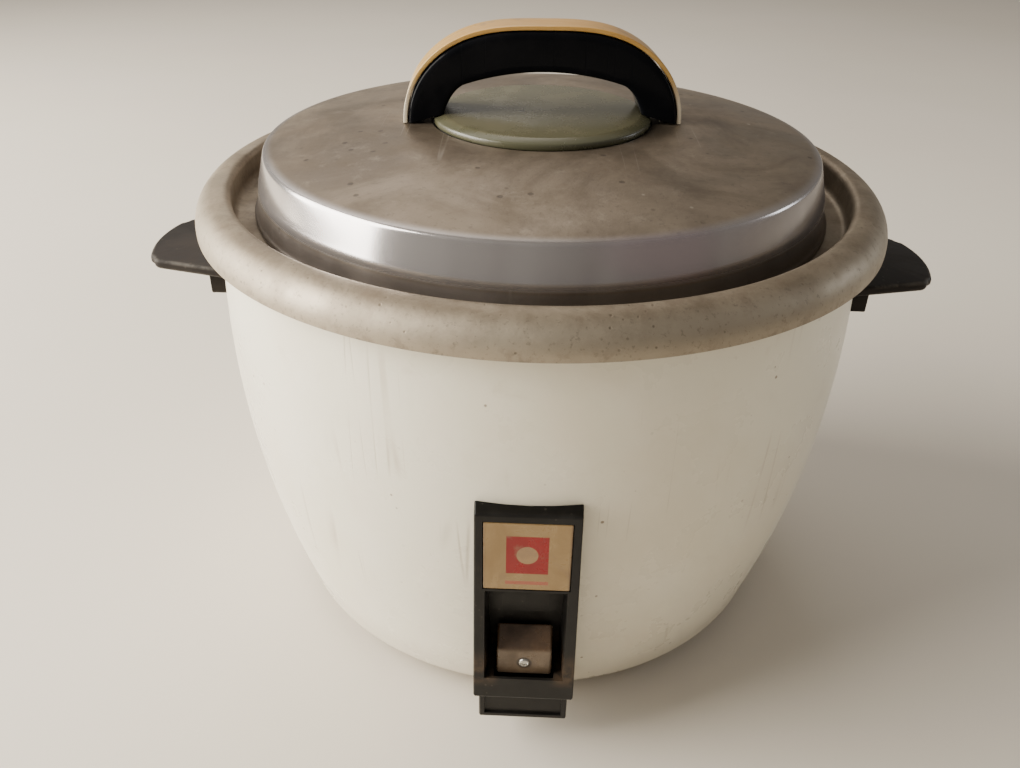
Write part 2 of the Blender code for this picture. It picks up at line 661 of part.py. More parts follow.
def make_pan(look):
    path = pan_path()
    under = offset_path(path, -PAN_WALL)
    under[0] = (path[0][0] - PAN_WALL, path[0][1])
    under[-1] = (0.0, PAN_BOTTOM)
    turned("inner_pan", path + under[::-1], look["dull_alu"])


def lid_path():
    """(radius, z) along the lid's outer surface, from its edge to the hole under the window."""
    path = [(LID_EDGE, LID_EDGE_Z), (LID_EDGE, LID_EDGE_Z + LID_EDGE_ROLL),
            (LID_EDGE - LID_EDGE_ROLL, LID_EDGE_Z + 2 * LID_EDGE_ROLL), (LID_BREAK, LID_BREAK_Z)]
    slope = LID_BEVEL_LEAN / LID_BEVEL_RISE
    path.append((LID_CREASE + LID_CREASE_ROUND * slope, LID_CREASE_Z - LID_CREASE_ROUND))
    path.append((LID_CREASE - LID_CREASE_ROUND / 3, LID_CREASE_Z))
    steps = 5
    for i in range(1, steps + 1):
        radius = LID_CREASE + (SEAT_RADIUS - LID_CREASE) * i / steps
        path.append((radius, crown_z(radius)))
    path.append((SEAT_RADIUS - GAP, SEAT_Z))
    path.append((GLASS_RADIUS - SEAT_WIDTH, SEAT_Z))
    return path


def make_lid(look, turn):
    path = lid_path()
    under = offset_path(path, -LID_WALL)
    under[0] = (path[0][0] - LID_WALL, path[0][1])
    under[-1] = (path[-1][0], path[-1][1] - LID_WALL)
    under[-2] = (path[-2][0] + LID_WALL, path[-2][1] - LID_WALL)
    shell = place(turned("lid_shell", path + under[::-1], look["alu"]), turn)
    for i, x in enumerate(grip_screw_places()):
        cut(shell, place(rod(f"lid_screw_hole_{i}", SCREW_HOLE, (x, 0, LID_BREAK_Z),
                             (x, 0, GLASS_TOP + LID_WALL), None), turn))
    gasket_in = GLASS_RADIUS - SEAT_WIDTH + GASKET_INSET
    gasket_out = GLASS_RADIUS - GASKET_INSET
    low = SEAT_Z + GAP
    high = low + GASKET_THICK
    gasket = [(gasket_in, low), (gasket_out, low), (gasket_out, high), (gasket_in, high)]
    place(turned("window_gasket", gasket, look["rubber"]), turn)
    glass = [(0.0, GLASS_BOTTOM), (GLASS_RADIUS, GLASS_BOTTOM),
             (GLASS_RADIUS, GLASS_TOP - GLASS_BEVEL_DROP),
             (GLASS_RADIUS - GLASS_BEVEL, GLASS_TOP), (0.0, GLASS_TOP)]
    place(turned("lid_window", glass, look["glass"]), turn)


def grip_screw_places():
    """x of the two screws that hold the lid's handle."""
    x = GRIP_SPAN / 2 - GRIP_SCREW_INSET
    return [-x, x]


def squared(angle, power_x, power_z, lean):
    """Half an ellipse with squared shoulders: x from 1 to -1 and z from 0 to 1 and back."""
    x = math.copysign(abs(math.cos(angle)) ** power_x, math.cos(angle))
    rise = abs(math.sin(angle))
    return x * (1.0 - lean * rise ** 1.4), rise ** power_z


def grip_curve(inset, steps):
    """Upper outline of the handle from one foot to the other, moved in by inset."""
    half = GRIP_SPAN / 2 - inset
    rise = GRIP_RISE - inset
    arch = [squared(math.pi * i / steps, GRIP_SQUARE_X, GRIP_SQUARE_Z, GRIP_LEAN)
            for i in range(steps + 1)]
    return [(half * x, rise * z) for x, z in arch]


def make_lid_handle(look, turn):
    foot_z = crown_z(GRIP_SPAN / 2) + GAP
    stand = Matrix.Rotation(math.radians(90), 4, "X")
    foot_in = GRIP_SPAN / 2 - GRIP_FOOT
    step_x = GLASS_RADIUS + 3 * GAP
    notch = GLASS_TOP + GAP - foot_z
    root = crown_z(step_x) + GAP - foot_z
    outer = grip_curve(STRIP_THICK + GAP, GRIP_STEPS)
    inner_half = foot_in - ARCH_INSET
    low = notch + ARCH_LOW
    high = GRIP_RISE - STRIP_THICK - GRIP_THICK
    arch = [squared(math.pi * i / 14, ARCH_SQUARE_X, ARCH_SQUARE_Z, ARCH_LEAN) for i in range(15)]
    arch = [(inner_half * x, low + (high - low) * z) for x, z in arch]
    outline = outer + [(-step_x, root), (-step_x, notch), (-foot_in, notch)]
    outline += arch[::-1] + [(foot_in, notch), (step_x, notch), (step_x, root)]
    lift = turn @ Matrix.Translation((0, 0, foot_z)) @ stand
    grip = prism("lid_handle", outline, -GRIP_WIDTH / 2, GRIP_WIDTH / 2, look["black"], lift)
    strip_outline = grip_curve(0.0, GRIP_STEPS) + grip_curve(STRIP_THICK, GRIP_STEPS)[::-1]
    prism("handle_strip", strip_outline, -STRIP_WIDTH / 2, STRIP_WIDTH / 2, look["ivory"], lift)
    for i, x in enumerate(grip_screw_places()):
        under = crown_z(abs(x) + SCREW_HEAD + GAP) - LID_WALL * 1.2 - 2 * GAP
        end = foot_z + GRIP_SCREW_DEPTH
        cut(grip, place(rod(f"grip_screw_hole_{i}", SCREW_HOLE, (x, 0, under),
                            (x, 0, end + 2 * GAP), None), turn))
        place(screw(f"handle_screw_{i + 1}", (x, 0, under), (0, 0, 1), end - under,
                    look["steel"]), turn)


def wing_top():
    return BODY_TOP - WING_DROP


def wing_inner():
    return body_radius(wing_top()) + 2 * GAP


def wing_screw_places():
    """(side, y, z) of the side handles' screws."""
    z = wing_top() - WING_PAD_HEIGHT / 2
    return [(side, y, z) for side in (-1, 1) for y in (-WING_SCREW_SPREAD, WING_SCREW_SPREAD)]


def wing_outline(inner):
    """The plate from above, reaching out along +X."""
    reach = inner + WING_REACH - WING_BOW
    root = inner - WING_PAD_THICK
    corner = reach - WING_CORNER
    tip = WING_TIP_HALF - WING_CORNER
    outline = [(root, -WING_ROOT_HALF)]
    outline += arc((corner, -tip), WING_CORNER, -80, -15, 3)
    for i in range(1, 8):
        share = -1 + 2 * i / 8
        outline.append((reach + WING_BOW * (1 - share * share), share * WING_TIP_HALF))
    outline += arc((corner, tip), WING_CORNER, 15, 80, 3)
    return outline + [(root, WING_ROOT_HALF)]


def make_side_handles(look):
    inner = wing_inner()
    top = wing_top()
    pad_low = (inner - 2 * WING_PAD_THICK, -WING_TIP_HALF, top - WING_PAD_HEIGHT)
    pad_high = (inner + WING_PAD_THICK, WING_TIP_HALF, top - WING_THICK / 2)
    for side, label in ((-1, "left"), (1, "right")):
        name = f"side_handle_{label}"
        flip = Matrix.Rotation(0.0 if side > 0 else math.pi, 4, "Z")
        plate = prism(name, wing_outline(inner), top - WING_THICK, top, look["black"], flip)
        join(plate, place(block(f"{name}_pad", pad_low, pad_high, None), flip))
        cut(plate, body_solid(f"{name}_body", 2 * GAP))
        own = [(y, z) for at, y, z in wing_screw_places() if at == side]
        for i, (y, z) in enumerate(own):
            wall = math.sqrt(body_radius(z) ** 2 - y * y) - SHELL_WALL * 1.1
            start = wall - 2 * GAP
            end = inner + WING_PAD_THICK - WING_SCREW_COVER
            cut(plate, rod(f"{name}_hole_{i}", SCREW_HOLE, (side * start, y, z),
                           (side * end, y, z), None))
            screw(f"wing_screw_{label}_{i + 1}", (side * start, y, z), (side, 0, 0),
                  end - start - 2 * GAP, look["steel"])


def box_front(z):
    """Distance of the housing's front face from the axis at height z."""
    share = (z - BOX_BOTTOM) / BOX_HEIGHT
    return BOX_FRONT_BOTTOM + (BOX_FRONT_TOP - BOX_FRONT_BOTTOM) * share


def box_screw_places():
    """(x, z) of the two screws that hold the housing from inside the body."""
    x = BUTTON_HALF + BOX_SCREW_ASIDE
    z = BOX_BOTTOM + BOX_SCREW_RISE
    return [(-x, z), (x, z)]


def frame_corners(half_low, half_high, low, high, front_low, front_high, back):
    """Eight corners of a block that tapers up the front."""
    corners = []
    for z, half, front in ((low, half_low, front_low), (high, half_high, front_high)):
        for side in (-1, 1):
            corners.append((side * half, -front, z))
            corners.append((side * (half + BOX_FLARE), -back, z))
    return corners


def lens_corners(low, high, half, play):
    """Corners of the lens, or of its pocket when play is over 0."""
    corners = []
    for z in (low, high):
        for y in (box_front(z) + 10 * play, box_front(z) - LENS_THICK - 2 * play):
            corners += [(-half, -y, z), (half, -y, z)]
    return corners


def make_housing(look):
    corners = frame_corners(BOX_HALF_BOTTOM, BOX_HALF_TOP, BOX_BOTTOM, BOX_TOP,
                            BOX_FRONT_BOTTOM, BOX_FRONT_TOP, BOX_BACK)
    for side in (-1, 1):
        corners.append((side * (BOX_HALF_TOP + BOX_FLARE), -BOX_BACK, BOX_TOP + BOX_TOP_SLOPE * 4))
    housing = hull("switch_housing", corners, look["black"], BOX_EDGE)
    cut(housing, body_solid("housing_body", GAP))
    lens_low = RECESS_TOP + RECESS_WEB
    lens_high = lens_low + LENS_HEIGHT
    half = LENS_WIDTH / 2
    cut(housing, hull("lens_pocket", lens_corners(lens_low - GAP, lens_high + GAP, half + GAP, GAP),
                      None))
    lamp_half = LAMP_HALF + LAMP_POCKET_INSET
    cut(housing, block("lamp_pocket", (-lamp_half, -BOX_FRONT_TOP, lens_low + LAMP_POCKET_INSET),
                       (lamp_half, -BOX_BACK, lens_high - LAMP_POCKET_INSET), None))
    recess = hull("recess", recess_corners(), None)
    cut(recess, body_solid("recess_body", BOX_BACK_WALL + GAP))
    cut(housing, recess)
    slot_half = BUTTON_HALF + SLOT_PLAY
    slot_front = box_front(RECESS_BOTTOM) - LIP_THICK
    cut(housing, block("button_slot", (-slot_half, -slot_front, RECESS_BOTTOM - SLOT_DEPTH),
                       (slot_half, -BUTTON_BACK + BUTTON_BACK_PLAY, BUTTON_MIDDLE), None))
    lever_half = LEVER_HALF + LEVER_WINDOW_PLAY
    cut(housing, block("lever_window", (-lever_half, -BUTTON_FRONT, LEVER_LOW),
                       (lever_half, -BOX_BACK, BUTTON_MIDDLE + TAB_RISE), None))
    for i, (x, z) in enumerate(box_screw_places()):
        wall = math.sqrt(body_radius(z) ** 2 - x * x)
        start = wall - SHELL_WALL - BOX_SCREW_OFF
        cut(housing, rod(f"box_screw_hole_{i}", SCREW_HOLE, (x, -start, z),
                         (x, -start - BOX_SCREW_LENGTH - GAP, z), None))
        screw(f"housing_screw_{i + 1}", (x, -start, z), (0, -1, 0), BOX_SCREW_LENGTH, look["steel"])
    hull("label_lens", lens_corners(lens_low, lens_high, half, 0.0), look["label"], LENS_EDGE)


def recess_corners():
    """Finger recess: its sides lean in towards the back."""
    corners = []
    mouth = BOX_FRONT_BOTTOM + LIP_THICK
    for y, half in ((mouth, RECESS_HALF), (BOX_BACK, RECESS_HALF - RECESS_TAPER)):
        for z in (RECESS_BOTTOM, RECESS_TOP):
            corners += [(-half, -y, z), (half, -y, z)]
    return corners


def make_lower_cover(look):
    top = BOX_BOTTOM - GAP
    corners = frame_corners(COVER_HALF, COVER_HALF, COVER_BOTTOM, top, COVER_FRONT,
                            COVER_FRONT, COVER_BACK)
    cover = hull("housing_lower_cover", corners, look["black"], COVER_EDGE)
    cut(cover, body_solid("cover_body", GAP))
    panel_half = COVER_HALF - COVER_FRAME
    panel_back = COVER_FRONT - COVER_PANEL_SINK
    cut(cover, block("cover_panel", (-panel_half, -BOX_FRONT_BOTTOM, COVER_BOTTOM + COVER_FRAME),
                     (panel_half, -panel_back, top - COVER_FRAME), None))


def make_lamp(look):
    y = LENS_THICK + LAMP_CLEAR + LAMP_RADIUS - box_front(LENS_MIDDLE)
    rod("pilot_lamp", LAMP_RADIUS, (-LAMP_HALF, y, LENS_MIDDLE), (LAMP_HALF, y, LENS_MIDDLE),
        look["glass"])


def make_button(look):
    corners = []
    for y, high in ((BUTTON_FRONT, BUTTON_TOP), (BUTTON_BACK, BUTTON_TOP + BUTTON_RISE)):
        for z in (BUTTON_BOTTOM, high):
            corners += [(-BUTTON_HALF, -y, z), (BUTTON_HALF, -y, z)]
    button = hull("switch_button", corners, look["button"], BUTTON_EDGE)
    middle = BUTTON_MIDDLE
    half = LEVER_HALF + GAP
    pocket_front = TAB_PLACE + LEVER_THICK / 2 + GAP
    cut(button, block("button_pocket", (-half, -pocket_front, middle - LEVER_THICK - GAP),
                      (half, -BUTTON_BACK + LEVER_THICK, middle + TAB_RISE + GAP), None))
    seat = BUTTON_FRONT - BUTTON_SINK_DEPTH
    cut(button, rod("button_sink", BUTTON_SINK, (0, -BOX_FRONT_BOTTOM, middle),
                    (0, -seat, middle), None, SMALL_STEPS))
    cut(button, rod("button_hole", BUTTON_SCREW_SHANK + HOLE_PLAY, (0, -BUTTON_FRONT, middle),
                    (0, -TAB_PLACE, middle), None))
    screw("button_screw", (0, -seat - GAP, middle), (0, 1, 0), BUTTON_SCREW_LENGTH, look["steel"],
          BUTTON_SCREW_HEAD, BUTTON_SCREW_HIGH, BUTTON_SCREW_SHANK)


def along_pivot(name, radius, half):
    """A bar along the lever's pivot, or the cutter of a bore there."""
    return rod(name, radius, (-half, -LEVER_PIVOT, LEVER_PIVOT_Z), (half, -LEVER_PIVOT, LEVER_PIVOT_Z),
               None, SMALL_STEPS)


def make_lever(look):
    """A steel strip from the button to the plunger, with a rolled barrel on its pivot."""
    half = LEVER_THICK / 2
    middle = BUTTON_MIDDLE
    centre = [(-TAB_PLACE, middle + TAB_RISE), (-TAB_PLACE, middle - half),
              (-LEVER_BEND_OUT, middle - half), (-LEVER_BEND_IN, LEVER_PIVOT_Z + LEVER_BEND_RISE),
              (-LEVER_PIVOT, LEVER_PIVOT_Z), (0.0, LEVER_PIVOT_Z - LEVER_DROP)]
    outline = offset_path(centre, half) + offset_path(centre, -half)[::-1]
    stand = Matrix(((0, 0, 1, 0), (1, 0, 0, 0), (0, 1, 0, 0), (0, 0, 0, 1)))
    lever = prism("switch_lever", outline, -LEVER_HALF, LEVER_HALF, look["steel"], stand)
    join(lever, along_pivot("lever_barrel", LEVER_BARREL, LEVER_HALF))
    cut(lever, along_pivot("lever_bore", PIN_RADIUS + HOLE_PLAY, 2 * LEVER_HALF))
    cut(lever, rod("lever_tap", BUTTON_SCREW_SHANK + HOLE_PLAY, (0, -BUTTON_FRONT, middle),
                   (0, -TAB_PLACE + LEVER_THICK, middle), None))


def make_bracket(look):
    cheek = LEVER_HALF + BRACKET_PLAY
    reach = cheek + BRACKET_WALL
    foot = BASE_TOP + GAP
    floor = foot + BRACKET_WALL
    high = LEVER_PIVOT_Z + BRACKET_OVER
    outline = [(-reach, foot), (reach, foot), (reach, high), (cheek, high), (cheek, floor),
               (-cheek, floor), (-cheek, high), (-reach, high)]
    upright = Matrix(((1, 0, 0, 0), (0, 0, 1, -LEVER_PIVOT), (0, 1, 0, 0), (0, 0, 0, 1)))
    bracket = prism("lever_bracket", outline, -BRACKET_HALF, BRACKET_HALF, look["steel"], upright)
    cut(bracket, along_pivot("bracket_bore", PIN_RADIUS + HOLE_PLAY, 2 * reach))
    pin_half = reach + PIN_OVER
    rod("lever_pin", PIN_RADIUS, (-pin_half, -LEVER_PIVOT, LEVER_PIVOT_Z),
        (pin_half, -LEVER_PIVOT, LEVER_PIVOT_Z), look["spring"])
    lever_rise = LEVER_BEND_RISE * (SPRING_PLACE - LEVER_PIVOT) / (LEVER_BEND_IN - LEVER_PIVOT)
    spring_top = LEVER_PIVOT_Z + lever_rise - LEVER_THICK - GAP
    spring("return_spring", SPRING_RADIUS, SPRING_WIRE, foot, spring_top, SPRING_TURNS,
           look["spring"], (0.0, -SPRING_PLACE))


def make_contacts(look):
    foot = BASE_TOP + GAP
    top = foot + CONTACT_HEIGHT
    block("contact_block", (*CONTACT_LOW, foot), (*CONTACT_HIGH, top), look["black"], BOX_EDGE)
    left = CONTACT_LOW[0] + BLADE_SIDE
    right = CONTACT_HIGH[0] - 2 * BLADE_SIDE
    front = CONTACT_LOW[1] + 2 * BLADE_SIDE
    for i in range(2):
        low = top + BLADE_RISE + BLADE_SPACE * i
        block(f"contact_blade_{i + 1}", (left, front, low), (right, BLADE_TIP, low + BLADE_THICK),
              look["brass"])
    low = top + BLADE_RISE
    block("contact_spacer", (left, front + GAP, low + BLADE_THICK + GAP),
          (right, front + 3 * BLADE_SIDE, low + BLADE_SPACE - GAP), look["black"])


def make_heater(look):
    outline = [(HEATER_HOLE, HEATER_BOTTOM), (HEATER_RADIUS - HEATER_CHAMFER, HEATER_BOTTOM),
               (HEATER_RADIUS, HEATER_BOTTOM + HEATER_CHAMFER),
               (HEATER_RADIUS, HEATER_TOP - HEATER_EDGE),
               (HEATER_RADIUS - HEATER_EDGE, HEATER_TOP), (HEATER_HOLE, HEATER_TOP)]
    turned("heater_plate", outline, look["cast"])
    ring_z = HEATER_BOTTOM - GAP - ELEMENT_RADIUS
    turns = [math.radians(ELEMENT_START + ELEMENT_SWEEP * i / ELEMENT_STEPS)
             for i in range(ELEMENT_STEPS + 1)]
    ring = [(ELEMENT_RING * math.cos(a), ELEMENT_RING * math.sin(a), ring_z) for a in turns]
    wire_line("heating_element", ring, ELEMENT_RADIUS, 1, look["steel"])


def make_shield(look):
    low = SHIELD_TOP - SHIELD_THICK
    hole = CUP_RADIUS + SHIELD_PLAY
    rim = SHIELD_TOP + SHIELD_RIM
    inner = SHIELD_RADIUS - SHIELD_THICK
    outline = [(hole, low), (SHIELD_RADIUS, low), (SHIELD_RADIUS, rim), (inner, rim),
               (inner, SHIELD_TOP), (hole, SHIELD_TOP)]
    shield = turned("heat_shield", outline, look["steel"])
    foot = BASE_TOP + GAP
    for i, (x, y) in enumerate(around(LEG_COUNT, 90, LEG_CIRCLE)):
        cut(shield, rod(f"shield_hole_{i}", LEG_RADIUS + HOLE_PLAY, (x, y, foot), (x, y, rim),
                        None, SMALL_STEPS))
        collar = LEG_RADIUS + LEG_COLLAR
        leg = [(0.0, foot), (collar, foot), (collar, low - GAP), (LEG_RADIUS, low - GAP),
               (LEG_RADIUS, HEATER_BOTTOM - GAP), (0.0, HEATER_BOTTOM - GAP)]
        turned(f"heater_leg_{i + 1}", leg, look["steel"], SMALL_STEPS, (x, y))


def make_thermostat(look):
    cap_top = HEATER_TOP
    cap_low = cap_top - CAP_HEIGHT
    inner = CAP_RADIUS - CAP_WALL
    cap = [(0.0, cap_top - CAP_WALL), (inner, cap_top - CAP_WALL), (inner, cap_low),
           (CAP_RADIUS, cap_low), (CAP_RADIUS, cap_top - CAP_CHAMFER),
           (CAP_RADIUS - CAP_CHAMFER, cap_top), (0.0, cap_top)]
    turned("sensor_cap", cap, look["alu"], 32)
    ferrite_top = cap_top - CAP_WALL - GAP
    ferrite_low = ferrite_top - FERRITE_THICK
    disc("sensor_ferrite", FERRITE_RADIUS, ferrite_low, ferrite_top, look["ferrite"])
    magnet_top = ferrite_low - GAP - PLUNGER_TRAVEL - SENSOR_TRAVEL
    magnet_low = magnet_top - MAGNET_THICK
    disc("plunger_magnet", MAGNET_RADIUS, magnet_low, magnet_top, look["ferrite"])
    rod_low = LEVER_PIVOT_Z - LEVER_DROP + LEVER_THICK / 2 + 2 * GAP
    rod_high = magnet_low - GAP
    head_low = rod_high - ROD_HEAD_THICK
    turned("plunger_rod", [(0.0, rod_low), (ROD_RADIUS, rod_low), (ROD_RADIUS, head_low),
                           (ROD_HEAD, head_low), (ROD_HEAD, rod_high), (0.0, rod_high)],
           look["brass"], SMALL_STEPS)
    floor = make_cup(look)
    spring("sensor_spring", CAP_RADIUS - CAP_WALL / 2, SPRING_WIRE, floor + GAP, cap_low - GAP, 3,
           look["spring"])


def disc(name, radius, low, high, material):
    return turned(name, [(0.0, low), (radius, low), (radius, high), (0.0, high)], material, 24)


def make_cup(look):
    """The thermostat's cup under the heater. Returns the height of its floor."""
    low = HEATER_TOP - CUP_DROP
    top = HEATER_BOTTOM - GAP
    floor = low + CUP_FLOOR
    inner = CUP_RADIUS - CUP_WALL
    rim = CUP_RADIUS + CUP_FLANGE
    hole = ROD_RADIUS + HOLE_PLAY
    cup = [(hole, low), (CUP_RADIUS, low), (CUP_RADIUS, top - CUP_WALL), (rim, top - CUP_WALL),
           (rim, top), (inner, top), (inner, floor), (hole, floor)]
    turned("thermostat_cup", cup, look["steel"], 32)
    return floor


def make_inlet(look):
    shell = block("inlet_housing",
                  (-INLET_HALF_WIDTH, INLET_BACK, INLET_Z - INLET_HALF_HEIGHT),
                  (INLET_HALF_WIDTH, INLET_FRONT, INLET_Z + INLET_HALF_HEIGHT), look["black"])
    wide = INLET_HALF_WIDTH + INLET_FLANGE
    tall = INLET_HALF_HEIGHT + INLET_FLANGE
    flange = block("inlet_flange", (-wide, INLET_BACK + INLET_FLOOR, INLET_Z - tall),
                   (wide, INLET_FRONT, INLET_Z + tall), None, INLET_EDGE)
    cut(flange, body_solid("flange_body", GAP))
    join(shell, flange)
    hollow_x = INLET_HALF_WIDTH - INLET_WALL
    hollow_z = INLET_HALF_HEIGHT - INLET_WALL
    floor = INLET_BACK + INLET_FLOOR
    cut(shell, block("inlet_hollow", (-hollow_x, floor, INLET_Z - hollow_z),
                     (hollow_x, INLET_FRONT + INLET_WALL, INLET_Z + hollow_z), None))
    pin_back = INLET_BACK - POWER_PIN_IN
    for i, x in enumerate((-PIN_SPREAD, PIN_SPREAD)):
        cut(shell, rod(f"inlet_pin_hole_{i}", POWER_PIN_RADIUS + HOLE_PLAY,
                       (x, pin_back, INLET_Z), (x, floor + INLET_WALL, INLET_Z), None))
        rod(f"inlet_pin_{i + 1}", POWER_PIN_RADIUS, (x, pin_back, INLET_Z),
            (x, INLET_FRONT - POWER_PIN_SHORT, INLET_Z), look["brass"])


def make_wires(look):
    pin_end = INLET_BACK - POWER_PIN_IN - WIRE_OFF_PIN
    low = BASE_TOP + WIRE_LOW
    live = [(PIN_SPREAD, pin_end, INLET_Z), (0.0140, 0.0850, 0.0290), (0.0330, 0.0500, low + 0.0040),
            (0.0370, 0.0000, low), (0.0340, -0.0400, low), (0.0290, -0.0530, low + 0.0040)]
    neutral = [(-PIN_SPREAD, pin_end, INLET_Z), (-0.0180, 0.0830, 0.0280),
               (-0.0420, 0.0500, low + 0.0030), (-0.0500, 0.0000, low),
               (-0.0420, -0.0500, low), (-0.0340, -0.0640, low + 0.0040)]
    tube("wire_live", live, WIRE_RADIUS, look["wire"])
    tube("wire_neutral", neutral, WIRE_RADIUS, look["wire"])
    fuse_z = SHIELD_TOP - SHIELD_THICK - FUSE_BELOW
    rod("thermal_fuse", FUSE_RADIUS, (FUSE_X, FUSE_Y - FUSE_HALF, fuse_z),
        (FUSE_X, FUSE_Y + FUSE_HALF, fuse_z), look["steel"])


def build():
    clear_scene()
    look = finishes()
    lid_turn = Matrix.Rotation(LID_TURN, 4, "Z")
    make_body(look)
    make_base(look)
    make_feet(look)
    make_pan(look)
    make_lid(look, lid_turn)
    make_lid_handle(look, lid_turn)
    make_side_handles(look)
    make_housing(look)
    make_lower_cover(look)
    make_lamp(look)
    make_button(look)
    make_lever(look)
    make_bracket(look)
    make_contacts(look)
    make_heater(look)
    make_shield(look)
    make_thermostat(look)
    make_inlet(look)
    make_wires(look)


build()
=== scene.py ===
import math

import bmesh
import bpy
import numpy as np
from mathutils import Matrix, Vector


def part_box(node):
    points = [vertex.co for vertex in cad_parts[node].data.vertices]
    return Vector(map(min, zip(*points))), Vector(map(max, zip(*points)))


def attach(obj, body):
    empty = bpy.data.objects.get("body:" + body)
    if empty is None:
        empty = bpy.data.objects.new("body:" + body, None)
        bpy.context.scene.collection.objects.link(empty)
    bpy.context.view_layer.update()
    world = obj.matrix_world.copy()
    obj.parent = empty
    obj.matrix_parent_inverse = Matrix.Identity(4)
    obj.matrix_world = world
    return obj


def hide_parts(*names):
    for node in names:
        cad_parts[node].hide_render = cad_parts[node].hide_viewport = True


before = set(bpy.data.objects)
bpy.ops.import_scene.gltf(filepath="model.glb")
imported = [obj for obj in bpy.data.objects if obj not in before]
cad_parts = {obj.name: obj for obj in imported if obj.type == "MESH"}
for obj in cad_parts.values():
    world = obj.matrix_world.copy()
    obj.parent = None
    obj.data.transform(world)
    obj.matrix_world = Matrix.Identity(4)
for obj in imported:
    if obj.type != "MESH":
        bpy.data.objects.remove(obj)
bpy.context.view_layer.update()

print("frame loaded,", len(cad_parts), "CAD nodes")


# quads between neighbouring rows and columns of a grid; the last column meets the first when wrapped
def gridQuads(rows, columns, wrapped=True):
    number = np.arange(rows * columns).reshape(rows, columns)
    if wrapped:
        number = np.concatenate([number, number[:, :1]], axis=1)
    corners = [number[:-1, :-1], number[:-1, 1:], number[1:, 1:], number[1:, :-1]]
    return np.stack(corners, axis=-1).reshape(-1, 4)


# makes one object from grids of points (rows, columns, 3), each with a wear value per row
def addPiece(name, grids, look, body, nodes, sheet=None, crease=38.0):
    points, quads, wear, start = [], [], [], 0
    for grid, rowWear in grids:
        rows, columns = grid.shape[:2]
        points.append(grid.reshape(-1, 3))
        quads.append(gridQuads(rows, columns) + start)
        wear.append(np.repeat(np.broadcast_to(rowWear, rows), columns))
        start += rows * columns
    points, quads = np.concatenate(points), np.concatenate(quads)
    if sheet is not None:                       # an open sheet loses the quads of its windows
        quads = quads[~sheet(points[quads].mean(axis=1))]
    mesh = bpy.data.meshes.new(name)
    mesh.from_pydata(points.tolist(), [], quads.tolist())
    mesh.attributes.new("wear", "FLOAT", "POINT").data.foreach_set(
        "value", np.concatenate(wear).astype(np.float32))
    tidy = bmesh.new()
    tidy.from_mesh(mesh)
    bmesh.ops.remove_doubles(tidy, verts=tidy.verts, dist=1e-6)
    bmesh.ops.delete(tidy, geom=[v for v in tidy.verts if not v.link_faces], context="VERTS")
    if sheet is None:
        bmesh.ops.recalc_face_normals(tidy, faces=tidy.faces)
    tidy.to_mesh(mesh)
    tidy.free()
    mesh.materials.append(look)
    mesh.shade_smooth()
    mesh.set_sharp_from_angle(angle=math.radians(crease))
    piece = bpy.data.objects.new(name, mesh)
    bpy.context.scene.collection.objects.link(piece)
    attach(piece, body)
    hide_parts(*nodes)
    return piece


# a profile of (radius, height) carried round an upright axis: x = r cos a, y = r sin a
def turnedGrid(profile, steps, centre=(0.0, 0.0)):
    profile = np.asarray(profile, float)
    angle = np.arange(steps) * 2 * np.pi / steps
    radius, height = profile[:, :1], profile[:, 1:]
    return np.stack([centre[0] + radius * np.cos(angle), centre[1] + radius * np.sin(angle),
                     height + 0 * angle], axis=-1)


# points on a circle between two angles in degrees: centre + radius (cos a, sin a)
def arcLine(x, z, radius, start, end, count):
    angle = np.radians(np.linspace(start, end, count))
    return np.stack([x + radius * np.cos(angle), z + radius * np.sin(angle)], axis=-1)


# each corner is cut at a quarter and three quarters of its two sides, a few times over
def softLine(points, cuts=3):
    line = np.asarray(points, float)
    for _ in range(cuts):
        near, far = line[:-1], line[1:]
        inner = np.stack([0.75 * near + 0.25 * far, 0.25 * near + 0.75 * far], axis=1).reshape(-1, 2)
        line = np.concatenate([line[:1], inner, line[-1:]])
    return line


# evenly spaced points along a line, without its last point when it is closed
def evenly(line, count, closed=True):
    step = np.linalg.norm(np.diff(line, axis=0), axis=1)
    along = np.concatenate([[0], np.cumsum(step)])
    want = np.linspace(0, along[-1], count, endpoint=not closed)
    return np.stack([np.interp(want, along, line[:, 0]), np.interp(want, along, line[:, 1])], axis=-1)


# the line moved sideways along its own normals: p + distance (tz, -tx), t the unit tangent
def besideLine(line, distance):
    tangent = np.gradient(line, axis=0)
    tangent /= np.linalg.norm(tangent, axis=1, keepdims=True) + 1e-12
    return line + distance * np.stack([tangent[:, 1], -tangent[:, 0]], axis=-1)


# a flat outline raised between two heights, its edges rounded: inset r (1 - cos f), height r sin f
def slabGrid(outline, low, high, radius):
    ahead, behind = np.roll(outline, -1, axis=0), np.roll(outline, 1, axis=0)
    tangent = ahead - behind
    tangent /= np.linalg.norm(tangent, axis=1, keepdims=True)
    inward = np.stack([-tangent[:, 1], tangent[:, 0]], axis=-1)
    turn = np.radians(np.linspace(90, 0, 6))
    inset = radius * (1 - np.cos(turn))
    rise = radius * np.sin(turn)
    inset = np.concatenate([inset, inset[::-1]])[:, None, None]
    height = np.concatenate([high - radius + rise, low + radius - rise[::-1]])
    rings = outline[None] + inset * inward[None]
    rings = np.concatenate([rings, np.broadcast_to(height[:, None, None], rings.shape[:2] + (1,))], -1)
    middle = outline.mean(axis=0)
    caps = [np.broadcast_to([middle[0], middle[1], z], rings.shape[1:])[None] for z in (high, low)]
    wear = np.concatenate([[0], np.sin(np.linspace(0, np.pi, 6)), np.sin(np.linspace(0, np.pi, 6)), [0]])
    return np.concatenate([caps[0], rings, caps[1]]), wear


